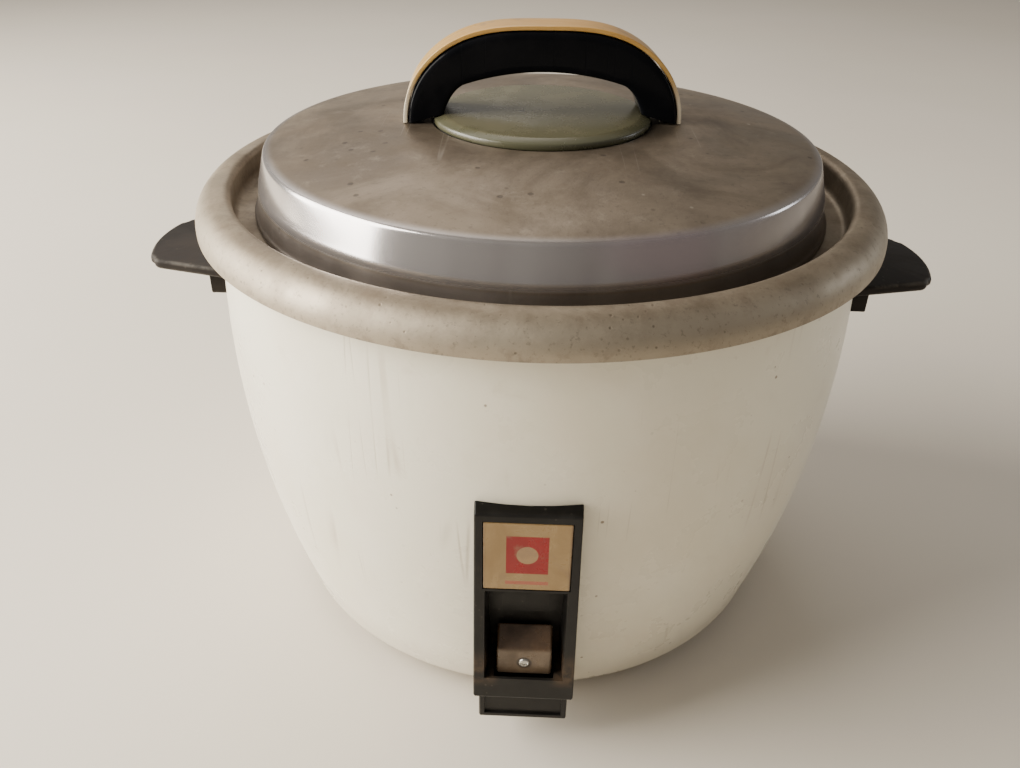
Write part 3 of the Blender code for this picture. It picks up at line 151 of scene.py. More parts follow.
# a rounded oblong section swept between two curves (x, z): inner + v (outer - inner), y = u half
def sweptGrid(inner, outer, half, squareness):
    around = 40
    turn = (np.arange(around) + 0.5) * 2 * np.pi / around
    across = np.sign(np.cos(turn)) * np.abs(np.cos(turn)) ** squareness
    share = 0.5 + 0.5 * np.sign(np.sin(turn)) * np.abs(np.sin(turn)) ** squareness
    line = inner[:, None] + (outer - inner)[:, None] * share[None, :, None]
    grid = np.stack([line[..., 0], np.broadcast_to(half * across, line.shape[:2]), line[..., 1]], -1)
    ends = [np.broadcast_to(grid[i].mean(axis=0), grid[i].shape)[None] for i in (0, -1)]
    return np.concatenate([ends[0], grid, ends[1]])


# moves a grid by a turn about the upright axis
def turnedBy(grid, degrees):
    angle = math.radians(degrees)
    turn = np.array([[math.cos(angle), math.sin(angle), 0], [-math.sin(angle), math.cos(angle), 0],
                     [0, 0, 1]])
    return grid @ turn


# finishes
def newLook(name, **values):
    look = bpy.data.materials.new(name)
    look.use_nodes = True
    shader = look.node_tree.nodes["Principled BSDF"]
    for socket, value in values.items():
        shader.inputs[socket.replace("_", " ")].default_value = value
    return look


# one shader node with its settings, its unlinked values and its links
def addNode(look, kind, settings=None, values=None, links=None):
    made = look.node_tree.nodes.new(kind)
    for key, value in (settings or {}).items():
        setattr(made, key, value)
    for key, value in (values or {}).items():
        made.inputs[key].default_value = value
    for key, socket in (links or {}).items():
        look.node_tree.links.new(socket, made.inputs[key])
    return made


# links a value to one of the main shader's own inputs
def feed(look, socket, source):
    look.node_tree.links.new(source, look.node_tree.nodes["Principled BSDF"].inputs[socket])


# object coordinates, stretched, turned and shifted
def place(look, scale=(1, 1, 1), turn=(0, 0, 0), shift=(0, 0, 0)):
    coords = addNode(look, "ShaderNodeTexCoord").outputs["Object"]
    return addNode(look, "ShaderNodeMapping", values={"Scale": scale, "Rotation": turn,
                                                      "Location": shift},
                   links={"Vector": coords}).outputs[0]


def noise(look, scale, detail=4.0, rough=0.55, stretch=(1, 1, 1), turn=(0, 0, 0), warp=0.0,
          shift=(0, 0, 0)):
    return addNode(look, "ShaderNodeTexNoise",
                   values={"Scale": scale, "Detail": detail, "Roughness": rough, "Distortion": warp},
                   links={"Vector": place(look, stretch, turn, shift)}).outputs["Fac"]


# round spots around the points of a cell pattern, 1 inside and 0 outside
def spots(look, scale, size, stretch=(1, 1, 1), shift=(0, 0, 0)):
    cells = addNode(look, "ShaderNodeTexVoronoi", values={"Scale": scale},
                    links={"Vector": place(look, stretch, (0.3, 0.5, 0.2), shift)})
    return between(look, cells.outputs["Distance"], size, size * 0.55)


# a smooth step from bottom to top as the source goes from low to high
def between(look, source, low, high, bottom=0.0, top=1.0):
    return addNode(look, "ShaderNodeMapRange", {"interpolation_type": "SMOOTHSTEP"},
                   {"From Min": low, "From Max": high, "To Min": bottom, "To Max": top},
                   {"Value": source}).outputs["Result"]


def sums(look, operation, first, second):
    made = addNode(look, "ShaderNodeMath", {"operation": operation})
    for i, value in enumerate((first, second)):
        if isinstance(value, (int, float)):
            made.inputs[i].default_value = value
        else:
            look.node_tree.links.new(value, made.inputs[i])
    return made.outputs[0]


def blended(look, share, first, second):
    made = addNode(look, "ShaderNodeMix", {"data_type": "RGBA"})
    for i, value in ((0, share), (6, first), (7, second)):
        if isinstance(value, (int, float)):
            made.inputs[i].default_value = value
        elif isinstance(value, tuple):
            made.inputs[i].default_value = (*value, 1.0)
        else:
            look.node_tree.links.new(value, made.inputs[i])
    return made.outputs[2]


# a second tone laid over the first by a share of a mask
def stained(look, tone, mask, share, second):
    return blended(look, sums(look, "MULTIPLY", mask, share), tone, second)


def axisValue(look, axis):
    split = addNode(look, "ShaderNodeSeparateXYZ",
                    links={"Vector": addNode(look, "ShaderNodeTexCoord").outputs["Object"]})
    return split.outputs[axis]


# square root of the sum of two squares
def distance(look, first, second):
    squared = sums(look, "ADD", sums(look, "MULTIPLY", first, first),
                   sums(look, "MULTIPLY", second, second))
    return sums(look, "SQRT", squared, 0.0)


# distance from the upright axis
def farOut(look):
    return distance(look, axisValue(look, "X"), axisValue(look, "Y"))


# fine relief only; every visible shape is in the meshes
def relief(look, height, depth, strength):
    bump = addNode(look, "ShaderNodeBump", values={"Strength": strength, "Distance": depth},
                   links={"Height": height})
    feed(look, "Normal", bump.outputs[0])


# the wear value that addPiece gives each row of a grid
def wornEdge(look):
    return addNode(look, "ShaderNodeAttribute", {"attribute_name": "wear"}).outputs["Fac"]


# thin lines where a stretched noise passes through its middle
def scratches(look, scale, turn, width=0.012):
    lines = noise(look, scale, 1.0, 0.4, (1, 0.03, 0.03), turn, 0.4)
    away = sums(look, "ABSOLUTE", sums(look, "SUBTRACT", lines, 0.5), 0.0)
    return between(look, away, width, 0.0)


def enamelLook():
    low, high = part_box("outer_body")
    look = newLook("creamEnamel", Roughness=0.3, Coat_Weight=0.25, Coat_Roughness=0.12)
    clouds = noise(look, 9, 6, 0.6)
    tone = blended(look, between(look, clouds, 0.42, 0.68), (0.86, 0.81, 0.665), (0.81, 0.745, 0.585))
    height = axisValue(look, "Z")
    upper = between(look, height, high.z - 0.0502, high.z - 0.0002)
    stain = sums(look, "MULTIPLY", between(look, noise(look, 46, 6, 0.7, warp=0.6), 0.54, 0.76),
                 sums(look, "ADD", sums(look, "MULTIPLY", upper, 0.22), 0.13))
    tone = blended(look, stain, tone, (0.50, 0.40, 0.27))
    foot = between(look, height, low.z + 0.027, low.z + 0.001)
    tone = stained(look, tone, foot, 0.45, (0.42, 0.36, 0.28))
    specks = sums(look, "MULTIPLY", spots(look, 130, 0.11),
                  between(look, noise(look, 24, 2), 0.50, 0.62))
    tone = stained(look, tone, specks, 0.85, (0.20, 0.13, 0.07))
    chips = sums(look, "MULTIPLY", spots(look, 42, 0.09, shift=(3, 1, 2)),
                 between(look, noise(look, 12, 2, shift=(5, 2, 1)), 0.56, 0.64))
    tone = blended(look, chips, tone, (0.13, 0.09, 0.06))
    marks = sums(look, "MAXIMUM", scratches(look, 60, (0.2, 0.1, 0.7)),
                 scratches(look, 48, (0.1, 0.9, -0.5), 0.009))
    marks = sums(look, "MULTIPLY", marks,
                 between(look, noise(look, 14, 2, shift=(1, 7, 3)), 0.54, 0.66))
    tone = stained(look, tone, marks, 0.5, (0.46, 0.38, 0.28))
    feed(look, "Base Color", tone)
    feed(look, "Roughness", between(look, noise(look, 30, 5, 0.6), 0.3, 0.8, 0.24, 0.46))
    relief(look, sums(look, "SUBTRACT", noise(look, 260, 2), sums(look, "ADD", chips, marks)),
           0.00012, 0.35)
    return look


def panLook():
    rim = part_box("inner_pan")[1]
    look = newLook("dullAluminium", Metallic=0.7)
    out, height = farOut(look), axisValue(look, "Z")
    patches = between(look, noise(look, 26, 8, 0.7, warp=0.4), 0.36, 0.66)
    tone = blended(look, patches, (0.290, 0.238, 0.172), (0.180, 0.142, 0.098))
    outer = between(look, out, rim.x - 0.0081, rim.x - 0.0016)
    tone = stained(look, tone, outer, 0.7, (0.41, 0.355, 0.275))
    brown = sums(look, "MULTIPLY", between(look, noise(look, 85, 7, 0.75), 0.48, 0.66),
                 between(look, out, rim.x - 0.0006, rim.x - 0.0111, 0.25, 1.0))
    tone = stained(look, tone, brown, 0.55, (0.17, 0.125, 0.085))
    speckle = between(look, noise(look, 520, 3, 0.7), 0.56, 0.70)
    tone = stained(look, tone, speckle, 0.45, (0.13, 0.105, 0.08))
    scuffs = sums(look, "MULTIPLY", between(look, height, rim.z - 0.0075, rim.z - 0.0120),
                  between(look, noise(look, 150, 5, 0.65), 0.50, 0.62))
    tone = stained(look, tone, scuffs, 0.4, (0.16, 0.125, 0.095))
    inside = between(look, height, rim.z - 0.0130, rim.z - 0.0160)
    tone = blended(look, inside, tone, blended(look, patches, (0.56, 0.55, 0.53), (0.44, 0.43, 0.41)))
    pits = sums(look, "MULTIPLY", spots(look, 260, 0.15), between(look, noise(look, 40, 3), 0.48, 0.6))
    tone = stained(look, tone, pits, 0.6, (0.10, 0.075, 0.05))
    feed(look, "Base Color", tone)
    feed(look, "Roughness", between(look, noise(look, 50, 5), 0.3, 0.75, 0.44, 0.64))
    grain = noise(look, 420, 3, 0.7)
    relief(look, sums(look, "SUBTRACT", grain, pits), 0.0002, 0.4)
    return look


def lidLook():
    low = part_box("lid_shell")[0].z
    look = newLook("lidAluminium", Metallic=0.85)
    out, height = farOut(look), axisValue(look, "Z")
    band = sums(look, "MULTIPLY", between(look, height, low + 0.0089, low + 0.0109),
                between(look, height, low + 0.0263, low + 0.0247))
    # painted shade on the lid's lower wall, below the bright band, where it turns in towards the rim
    under = between(look, height, low + 0.0101, low + 0.0081)
    patches = between(look, noise(look, 18, 8, 0.7, warp=0.7), 0.36, 0.64)
    tone = blended(look, patches, (0.225, 0.180, 0.132), (0.140, 0.108, 0.076))
    ring = between(look, out, 0.098, 0.112)               # around the edge of the crown
    tone = stained(look, tone, ring, 0.15, (0.25, 0.21, 0.165))
    worn = between(look, noise(look, 85, 8, 0.75), 0.54, 0.70)
    tone = stained(look, tone, worn, 0.4, (0.31, 0.26, 0.20))
    speckle = between(look, noise(look, 430, 3, 0.7), 0.57, 0.70)
    tone = stained(look, tone, speckle, 0.4, (0.11, 0.088, 0.068))
    dark = sums(look, "MULTIPLY", spots(look, 120, 0.17, shift=(2, 5, 1)),
                between(look, noise(look, 26, 3), 0.46, 0.58))
    tone = stained(look, tone, dark, 0.7, (0.05, 0.038, 0.03))
    pale = sums(look, "MULTIPLY", spots(look, 95, 0.10, shift=(7, 2, 4)),
                between(look, noise(look, 33, 3, shift=(3, 3, 3)), 0.52, 0.62))
    tone = stained(look, tone, pale, 0.45, (0.46, 0.41, 0.34))
    lines = sums(look, "MULTIPLY", scratches(look, 62, (0, 0, 0.4), 0.006),
                 between(look, noise(look, 19, 2, shift=(6, 1, 0)), 0.55, 0.66))
    tone = stained(look, tone, lines, 0.22, (0.55, 0.50, 0.44))
    # painted reflection: upright streaks round the band lighten and darken its colour, and also vary its
    # roughness
    paintedReflectionStreaks = noise(look, 24, 3, 0.5, (1, 1, 0.06))
    bright = blended(look, between(look, paintedReflectionStreaks, 0.35, 0.7), (0.56, 0.53, 0.52), (0.38, 0.35, 0.35))
    tint = between(look, noise(look, 11, 2, shift=(4, 0, 0)), 0.52, 0.66)
    bright = blended(look, sums(look, "MULTIPLY", tint, 0.4), bright, (0.50, 0.39, 0.43))
    tone = blended(look, band, tone, bright)
    # the painted shade goes on below the band
    tone = stained(look, tone, under, 0.75, (0.19, 0.17, 0.16))
    feed(look, "Base Color", tone)
    dull = between(look, noise(look, 40, 5), 0.3, 0.75, 0.38, 0.56)
    shine = between(look, paintedReflectionStreaks, 0.3, 0.8, 0.15, 0.27)
    mixed = sums(look, "ADD", sums(look, "MULTIPLY", dull, sums(look, "SUBTRACT", 1.0, band)),
                 sums(look, "MULTIPLY", shine, band))
    feed(look, "Roughness", mixed)
    quiet = sums(look, "SUBTRACT", 1.0, sums(look, "MULTIPLY", band, 0.85))
    relief(look, sums(look, "MULTIPLY", quiet, sums(look, "SUBTRACT", noise(look, 380, 3, 0.7), dark)),
           0.00018, 0.35)
    return look


def glassLook():
    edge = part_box("lid_window")[1].x
    chipAt = (-0.008, -0.004)
    look = newLook("greenGlass", Transmission_Weight=0.30, IOR=1.5)
    film = between(look, noise(look, 60, 6, 0.65), 0.40, 0.70)
    tone = blended(look, film, (0.125, 0.115, 0.066), (0.150, 0.134, 0.078))
    # painted shade: the glass is darker towards its edge
    edgePaintedShade = between(look, farOut(look), edge - 0.0050, edge - 0.0005)
    tone = stained(look, tone, edgePaintedShade, 0.6, (0.085, 0.088, 0.052))
    dust = spots(look, 240, 0.12)
    tone = stained(look, tone, dust, 0.35, (0.16, 0.14, 0.10))
    x = sums(look, "ADD", axisValue(look, "X"), -chipAt[0])
    y = sums(look, "ADD", axisValue(look, "Y"), -chipAt[1])
    away = distance(look, x, y)
    chip = between(look, away, 0.0016, 0.0010)
    tone = stained(look, tone, chip, 0.85, (0.04, 0.03, 0.02))
    feed(look, "Base Color", tone)
    feed(look, "Roughness", between(look, film, 0.0, 1.0, 0.24, 0.40))
    relief(look, noise(look, 160, 3), 0.0001, 0.2)
    return look


def bakeliteLook():
    look = newLook("blackBakelite", Specular_IOR_Level=0.06)
    haze = between(look, noise(look, 38, 5, 0.6), 0.42, 0.72)
    tone = blended(look, haze, (0.0035, 0.0038, 0.005), (0.008, 0.0078, 0.009))
    tone = blended(look, sums(look, "MULTIPLY", wornEdge(look), 0.15), tone, (0.03, 0.028, 0.028))
    feed(look, "Base Color", tone)
    lines = scratches(look, 75, (0.3, 0, 0.5), 0.010)
    feed(look, "Roughness", sums(look, "ADD", between(look, haze, 0, 1, 0.12, 0.30),
                                 sums(look, "MULTIPLY", lines, 0.2)))
    relief(look, sums(look, "SUBTRACT", noise(look, 200, 2), lines), 0.00008, 0.3)
    return look


def charcoalLook():
    look = newLook("handleCharcoal", Specular_IOR_Level=0.08)
    haze = between(look, noise(look, 26, 6, 0.65, warp=0.4), 0.36, 0.68)
    tone = blended(look, haze, (0.018, 0.0155, 0.014), (0.031, 0.026, 0.023))
    chalk = sums(look, "MULTIPLY", wornEdge(look), between(look, noise(look, 70, 5, 0.7), 0.38, 0.62))
    tone = stained(look, tone, chalk, 0.45, (0.16, 0.145, 0.125))
    dust = spots(look, 190, 0.12)
    tone = stained(look, tone, dust, 0.2, (0.14, 0.12, 0.10))
    feed(look, "Base Color", tone)
    feed(look, "Roughness", between(look, haze, 0, 1, 0.36, 0.56))
    relief(look, noise(look, 180, 4, 0.7), 0.00015, 0.35)
    return look


def housingLook():
    front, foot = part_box("switch_housing")[0].y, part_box("switch_housing")[0].z
    look = newLook("housingBlack", Specular_IOR_Level=0.2)
    haze = between(look, noise(look, 50, 5, 0.6), 0.40, 0.70)
    tone = blended(look, haze, (0.011, 0.0102, 0.0094), (0.020, 0.0185, 0.0165))
    x, height = axisValue(look, "X"), axisValue(look, "Z")
    depth = axisValue(look, "Y")
    # painted shade: darker inside the switch recess, behind the front face and above its lower edge
    recessPaintedShade = sums(look, "MULTIPLY", between(look, depth, front + 0.0025, front + 0.0050),
                  between(look, height, foot + 0.0095, foot + 0.0125))
    tone = stained(look, tone, recessPaintedShade, 0.75, (0.002, 0.0018, 0.0016))
    side = between(look, sums(look, "ABSOLUTE", x, 0.0), 0.0085, 0.0145)
    lowPart = sums(look, "MULTIPLY", between(look, height, foot + 0.0275, foot + 0.0145),
                   between(look, height, foot + 0.0055, foot + 0.0115))
    rub = sums(look, "MULTIPLY", sums(look, "MULTIPLY", side, lowPart),
               between(look, noise(look, 120, 5, 0.7), 0.38, 0.58))
    tone = stained(look, tone, rub, 0.8, (0.085, 0.055, 0.034))
    dust = sums(look, "MULTIPLY", spots(look, 260, 0.15), between(look, noise(look, 60, 3), 0.45, 0.6))
    tone = stained(look, tone, dust, 0.35, (0.10, 0.085, 0.07))
    feed(look, "Base Color", tone)
    feed(look, "Roughness", between(look, haze, 0, 1, 0.30, 0.50))
    relief(look, noise(look, 300, 3, 0.7), 0.0001, 0.35)
    return look


def ivoryLook():
    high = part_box("handle_strip")[1].z
    look = newLook("agedIvory", Coat_Weight=0.3, Coat_Roughness=0.15)
    grain = noise(look, 34, 6, 0.65, (0.35, 2.2, 1.0), (0, 0, 0.07), 0.8)
    tone = blended(look, between(look, grain, 0.35, 0.68), (0.58, 0.37, 0.115), (0.44, 0.245, 0.055))
    top = between(look, axisValue(look, "Z"), high - 0.0156, high - 0.0016)
    tone = stained(look, tone, top, 0.6, (0.46, 0.235, 0.045))
    foot = between(look, axisValue(look, "Z"), high - 0.0176, high - 0.0336)
    tone = stained(look, tone, foot, 0.7, (0.92, 0.87, 0.74))
    dirt = between(look, noise(look, 110, 5, 0.7), 0.56, 0.72)
    tone = stained(look, tone, dirt, 0.6, (0.20, 0.12, 0.06))
    feed(look, "Base Color", tone)
    feed(look, "Roughness", between(look, grain, 0.3, 0.7, 0.26, 0.46))
    relief(look, grain, 0.00015, 0.35)
    return look


button = {"edge": 0.0011, "frontRise": 0.0132, "soft": 0.0012}


# the front is pale and the sloping top is painted darker as shade, where it goes back into the recess; it
# is also darker around the screw
def buttonLook():
    screwLow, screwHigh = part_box("button_screw")
    look = newLook("buttonCream", Subsurface_Weight=0.12, Subsurface_Radius=(0.004, 0.003, 0.002))
    clouds = between(look, noise(look, 90, 5, 0.65), 0.36, 0.66)
    tone = blended(look, clouds, (0.150, 0.105, 0.066), (0.090, 0.060, 0.036))
    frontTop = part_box("switch_button")[0].z + button["frontRise"]
    # painted shade on the sloping top, which goes back into the housing's recess
    top = between(look, axisValue(look, "Z"), frontTop - 0.0006, frontTop + 0.0008)
    tone = blended(look, sums(look, "MULTIPLY", top, 0.85), tone,
                   blended(look, clouds, (0.10, 0.058, 0.032), (0.055, 0.030, 0.016)))
    x = axisValue(look, "X")
    z = sums(look, "SUBTRACT", axisValue(look, "Z"), (screwLow.z + screwHigh.z) / 2)
    away = distance(look, x, z)
    well = between(look, away, 0.0034, 0.0026)
    tone = stained(look, tone, well, 0.85, (0.03, 0.02, 0.014))
    feed(look, "Base Color", tone)
    feed(look, "Roughness", between(look, clouds, 0, 1, 0.25, 0.50))
    relief(look, noise(look, 350, 3), 0.0001, 0.3)
    return look


# 1 inside an upright oblong about the middle of x and a height, soft at its edge
def boxMask(look, centre, half, soft):
    x = sums(look, "SUBTRACT", sums(look, "ABSOLUTE", axisValue(look, "X"), 0.0), half[0])
    z = sums(look, "SUBTRACT", axisValue(look, "Z"), centre)
    z = sums(look, "SUBTRACT", sums(look, "ABSOLUTE", z, 0.0), half[1])
    return between(look, sums(look, "MAXIMUM", x, z), soft, -soft)


label = {"blockAbove": 0.0162, "block": (0.0076, 0.0085), "disc": 0.0039,
         "stripeAbove": 0.0034, "stripe": (0.0078, 0.0008)}


# a plain red block with a pale disc, and a plain thin stripe under it
def labelLook():
    low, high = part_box("label_lens")
    blockHeight = low.z + label["blockAbove"]
    look = newLook("labelAged", Coat_Weight=0.15, Coat_Roughness=0.2)
    clouds = between(look, noise(look, 70, 6, 0.65, warp=0.5), 0.34, 0.66)
    tone = blended(look, clouds, (0.32, 0.212, 0.094), (0.26, 0.162, 0.064))
    block = boxMask(look, blockHeight, label["block"], 0.00015)
    x = axisValue(look, "X")
    z = sums(look, "SUBTRACT", axisValue(look, "Z"), blockHeight)
    away = distance(look, x, z)
    disc = between(look, away, label["disc"] + 0.0001, label["disc"] - 0.0001)
    red = blended(look, clouds, (0.27, 0.0008, 0.0015), (0.22, 0.0008, 0.0015))
    tone = blended(look, block, tone, red)
    tone = stained(look, tone, disc, 0.9, (0.34, 0.23, 0.11))
    stripe = boxMask(look, low.z + label["stripeAbove"], label["stripe"], 0.00012)
    tone = stained(look, tone, stripe, 0.7, (0.36, 0.06, 0.045))
    dirt = between(look, noise(look, 150, 5, 0.7, shift=(2, 2, 2)), 0.55, 0.70)
    tone = stained(look, tone, dirt, 0.45, (0.22, 0.14, 0.08))
    edge = between(look, sums(look, "ABSOLUTE", x, 0.0), high.x - 0.0013, high.x - 0.0001)
    tone = stained(look, tone, edge, 0.55, (0.14, 0.085, 0.05))
    feed(look, "Base Color", tone)
    feed(look, "Roughness", between(look, clouds, 0, 1, 0.24, 0.44))
    relief(look, noise(look, 240, 3), 0.0001, 0.3)
    return look


# metals and small parts share one recipe: two tones, a grain and a band of roughness
def plainLook(name, first, second, metal, shine, scale=60.0, depth=0.0001):
    look = newLook(name, Metallic=metal)
    clouds = between(look, noise(look, scale, 5, 0.62, warp=0.3), 0.36, 0.66)
    tone = blended(look, clouds, first, second)
    dirt = sums(look, "MULTIPLY", spots(look, scale * 4, 0.15),
                between(look, noise(look, scale * 0.7, 3, shift=(1, 2, 3)), 0.46, 0.6))
    dark = tuple(0.4 * c for c in second)
    tone = blended(look, sums(look, "MULTIPLY", dirt, 0.6), tone, dark)
    feed(look, "Base Color", tone)
    feed(look, "Roughness", between(look, clouds, 0, 1, shine[0], shine[1]))
    relief(look, noise(look, scale * 6, 3, 0.7), depth, 0.35)
    return look


looks = {
    "enamel": enamelLook(), "pan": panLook(), "lid": lidLook(), "glass": glassLook(),
    "bakelite": bakeliteLook(), "charcoal": charcoalLook(), "housing": housingLook(),
    "ivory": ivoryLook(), "button": buttonLook(), "label": labelLook(),
    "zinc": plainLook("zincSteel", (0.56, 0.55, 0.52), (0.38, 0.36, 0.33), 1.0, (0.28, 0.46)),
    "cast": plainLook("castAluminium", (0.55, 0.54, 0.52), (0.40, 0.38, 0.35), 1.0, (0.40, 0.60),
                      40.0, 0.0003),
    "spring": plainLook("springSteel", (0.46, 0.46, 0.47), (0.30, 0.30, 0.31), 1.0, (0.20, 0.36)),
    "rubber": plainLook("footRubber", (0.030, 0.029, 0.028), (0.055, 0.052, 0.048), 0.0, (0.60, 0.80)),
    "ferrite": plainLook("ferriteGrey", (0.09, 0.09, 0.095), (0.055, 0.055, 0.06), 0.3, (0.45, 0.65)),
    "brass": plainLook("contactBrass", (0.70, 0.50, 0.22), (0.48, 0.32, 0.13), 1.0, (0.24, 0.44)),
    "wire": plainLook("wireSleeve", (0.66, 0.63, 0.54), (0.50, 0.46, 0.37), 0.0, (0.55, 0.75), 80.0),
    "inlet": plainLook("inletBlack", (0.018, 0.017, 0.016), (0.034, 0.031, 0.028), 0.0, (0.34, 0.52)),
}
print("finishes made:", len(looks))

# painted body
body = {"curve": 1.2, "widestAt": 0.135, "baseRound": 0.0095, "opening": 0.088, "wall": 0.001,
        "rounds": 256, "leverWindow": (0.0449, 0.0578), "inletWindow": (0.0265, 0.0535)}
bodyLow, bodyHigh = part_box("outer_body")


# wall radius: widest radius less curve times the squared distance from the widest height
def wallRadius(height):
    return bodyHigh.x - body["curve"] * (height - bodyLow.z - body["widestAt"]) ** 2


def bodyProfile():
    corner = bodyLow.z + body["baseRound"]
    centre = wallRadius(corner) - body["baseRound"]
    floor = np.stack([np.linspace(body["opening"], centre, 8)[:-1], np.full(7, bodyLow.z)], axis=-1)
    levels = np.unique(np.concatenate([np.linspace(corner, bodyHigh.z, 64)[1:], body["leverWindow"],
                                       body["inletWindow"]]))
    wall = np.stack([wallRadius(levels), levels], axis=-1)
    return np.concatenate([floor, arcLine(centre, corner, body["baseRound"], -90, 0, 10), wall])


# True for quads in the lever's window at the front or the power inlet's window at the back
def bodyWindows(middle):
    angle = np.degrees(np.arctan2(middle[:, 0], -middle[:, 1]))
    step = 360 / body["rounds"]
    front = (np.abs(angle) < 2 * step) & (middle[:, 2] > body["leverWindow"][0]) \
        & (middle[:, 2] < body["leverWindow"][1])
    back = (np.abs(angle) > 180 - 6 * step) & (middle[:, 2] > body["inletWindow"][0]) \
        & (middle[:, 2] < body["inletWindow"][1])
    return front | back


shell = addPiece("bodyShell", [(turnedGrid(bodyProfile(), body["rounds"]), 0.0)], looks["enamel"],
                 "root", ["outer_body"], sheet=bodyWindows)
wall = shell.modifiers.new("wall", "SOLIDIFY")
wall.thickness = body["wall"]
wall.offset = -1.0
print("body shell made")

# inner pan with its rolled rim
pan = {"rimRound": 0.0118, "skirt": 0.0013, "lipRadius": 0.1301, "lipRound": 0.003, "lipDepth": 0.012,
       "ledge": 0.0125, "ledgeRound": 0.003, "corner": 0.0208, "wall": 0.0012, "rounds": 256}
panLow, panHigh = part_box("inner_pan")


# skirt, rim, lip, ledge, wall, corner and floor as straight runs joined by arcs
def panProfile():
    rim, top, radius = panHigh.x, panHigh.z, pan["rimRound"]
    ledge = top - pan["lipDepth"]
    inner = pan["lipRadius"] - pan["ledge"]
    floor = panLow.z + pan["wall"]
    small, lip, corner = pan["ledgeRound"], pan["lipRound"], pan["corner"]
    line = np.concatenate([
        [[rim, top - radius - pan["skirt"]]],
        arcLine(rim - radius, top - radius, radius, 0, 90, 18),
        arcLine(pan["lipRadius"] + lip, top - lip, lip, 95, 180, 9),
        arcLine(pan["lipRadius"] - small, ledge + small, small, 0, -90, 8),
        arcLine(inner + small, ledge - small, small, 90, 180, 8),
        np.stack([np.full(8, inner), np.linspace(ledge - small - 0.004, floor + corner + 0.004, 8)], -1),
        arcLine(inner - corner, floor + corner, corner, 0, -90, 14),
        np.stack([np.linspace(inner - corner - 0.005, 0.0, 8), np.full(8, floor)], -1)])
    under = besideLine(line, -pan["wall"])
    under[0] = line[0] - [pan["wall"], 0.0]
    under[-1] = [0.0, panLow.z]
    return line, under


panLine, panUnder = panProfile()
panLoop = np.concatenate([panLine, panUnder[::-1]])
addPiece("innerPan", [(turnedGrid(panLoop, pan["rounds"]), 0.0)], looks["pan"], "pan", ["inner_pan"])
print("pan made")

# lid
lid = {"clear": 0.0085, "wallRise": 0.012, "bandRise": 0.0134, "roll": 0.0014, "wallLean": 0.0012,
       "bandLean": 0.0035,
       "crownRise": 0.0078, "bend": 0.9, "seatRadius": 0.0463, "seatInner": 0.0386, "seatDrop": 0.0018,
       "wall": 0.0011, "rounds": 256, "turn": 4.0}
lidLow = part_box("lid_shell")[0]
lidEdge = pan["lipRadius"] - lid["clear"]
lidBreak = (lidEdge - lid["roll"] - lid["wallLean"], lidLow.z + lid["wallRise"])
lidCrease = (lidBreak[0] - lid["bandLean"], lidBreak[1] + lid["bandRise"])


# cone height: crease + rise sin(share of the way in, quarter turn) to the power bend
def crownHeight(radius):
    share = np.clip((lidCrease[0] - radius) / (lidCrease[0] - lid["seatRadius"]), 0, 1)
    return lidCrease[1] + lid["crownRise"] * np.sin(share * np.pi / 2) ** lid["bend"]


def lidProfile():
    roll = lid["roll"]
    (outX, outZ), (inX, inZ) = lidBreak, lidCrease
    side = softLine([(lidEdge, lidLow.z), (lidEdge, lidLow.z + roll),
                     (lidEdge - roll, lidLow.z + 2.2 * roll),
                     (outX + 0.0002, outZ - 0.0022), lidBreak, (outX - 0.0007, outZ + 0.0026),
                     (inX + 0.0007, inZ - 0.0024), (inX + 0.0001, inZ - 0.0004),
                     (inX - 0.0016, inZ + 0.0003), (inX - 0.0060, crownHeight(inX - 0.0060))], 3)
    reach = np.linspace(inX - 0.0064, lid["seatRadius"] + 0.0008, 30)
    cone = np.stack([reach, crownHeight(reach)], axis=-1)
    top = crownHeight(lid["seatRadius"])
    seat = top - lid["seatDrop"]
    step = softLine([(lid["seatRadius"] + 0.0005, top), (lid["seatRadius"], top),
                     (lid["seatRadius"] - 0.0003, seat), (lid["seatRadius"] - 0.0012, seat),
                     (lid["seatInner"], seat)], 2)
    return np.concatenate([side, cone, step])


lidLine = lidProfile()
lidUnder = besideLine(lidLine, -lid["wall"])
lidUnder[0] = lidLine[0] - [lid["wall"], 0.0]
lidLoop = np.concatenate([lidLine, lidUnder[::-1], lidLine[:1]])
addPiece("lidShell", [(turnedGrid(lidLoop, lid["rounds"]), 0.0)], looks["lid"], "lid", ["lid_shell"])

# window
window = {"bevel": 0.0040, "drop": 0.0016, "radius": 0.0456, "rounds": 192}
glassLow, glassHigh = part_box("lid_window")
edge, low, high = window["radius"], glassLow.z, glassHigh.z
shoulder, flat = high - window["drop"], edge - window["bevel"]
glassLine = np.array([(0.0, low), (edge - 0.0006, low), (edge - 0.0002, low + 0.0002),
                      (edge, low + 0.0006), (edge, shoulder - 0.0004), (edge - 0.0002, shoulder),
                      (edge - 0.0007, shoulder + 0.0003), (flat + 0.0006, high - 0.0003),
                      (flat, high - 0.0001), (flat - 0.0006, high), (0.0, high)])
addPiece("windowGlass", [(turnedGrid(glassLine, window["rounds"]), 0.0)], looks["glass"], "lid",
         ["lid_window"], crease=60.0)
print("lid and window made")

# lid handle: black arch with an ivory strip on top
grip = {"half": 0.0575, "rise": 0.0380, "thick": 0.0160, "halfWidth": 0.0100, "strip": 0.0018,
        "stripHalf": 0.0088, "gap": 0.0003, "footIn": 0.0405, "legLean": 0.0042, "archDrop": 0.0062,
        "powerX": 0.62, "powerZ": 0.80, "lean": 0.14, "steps": 90}


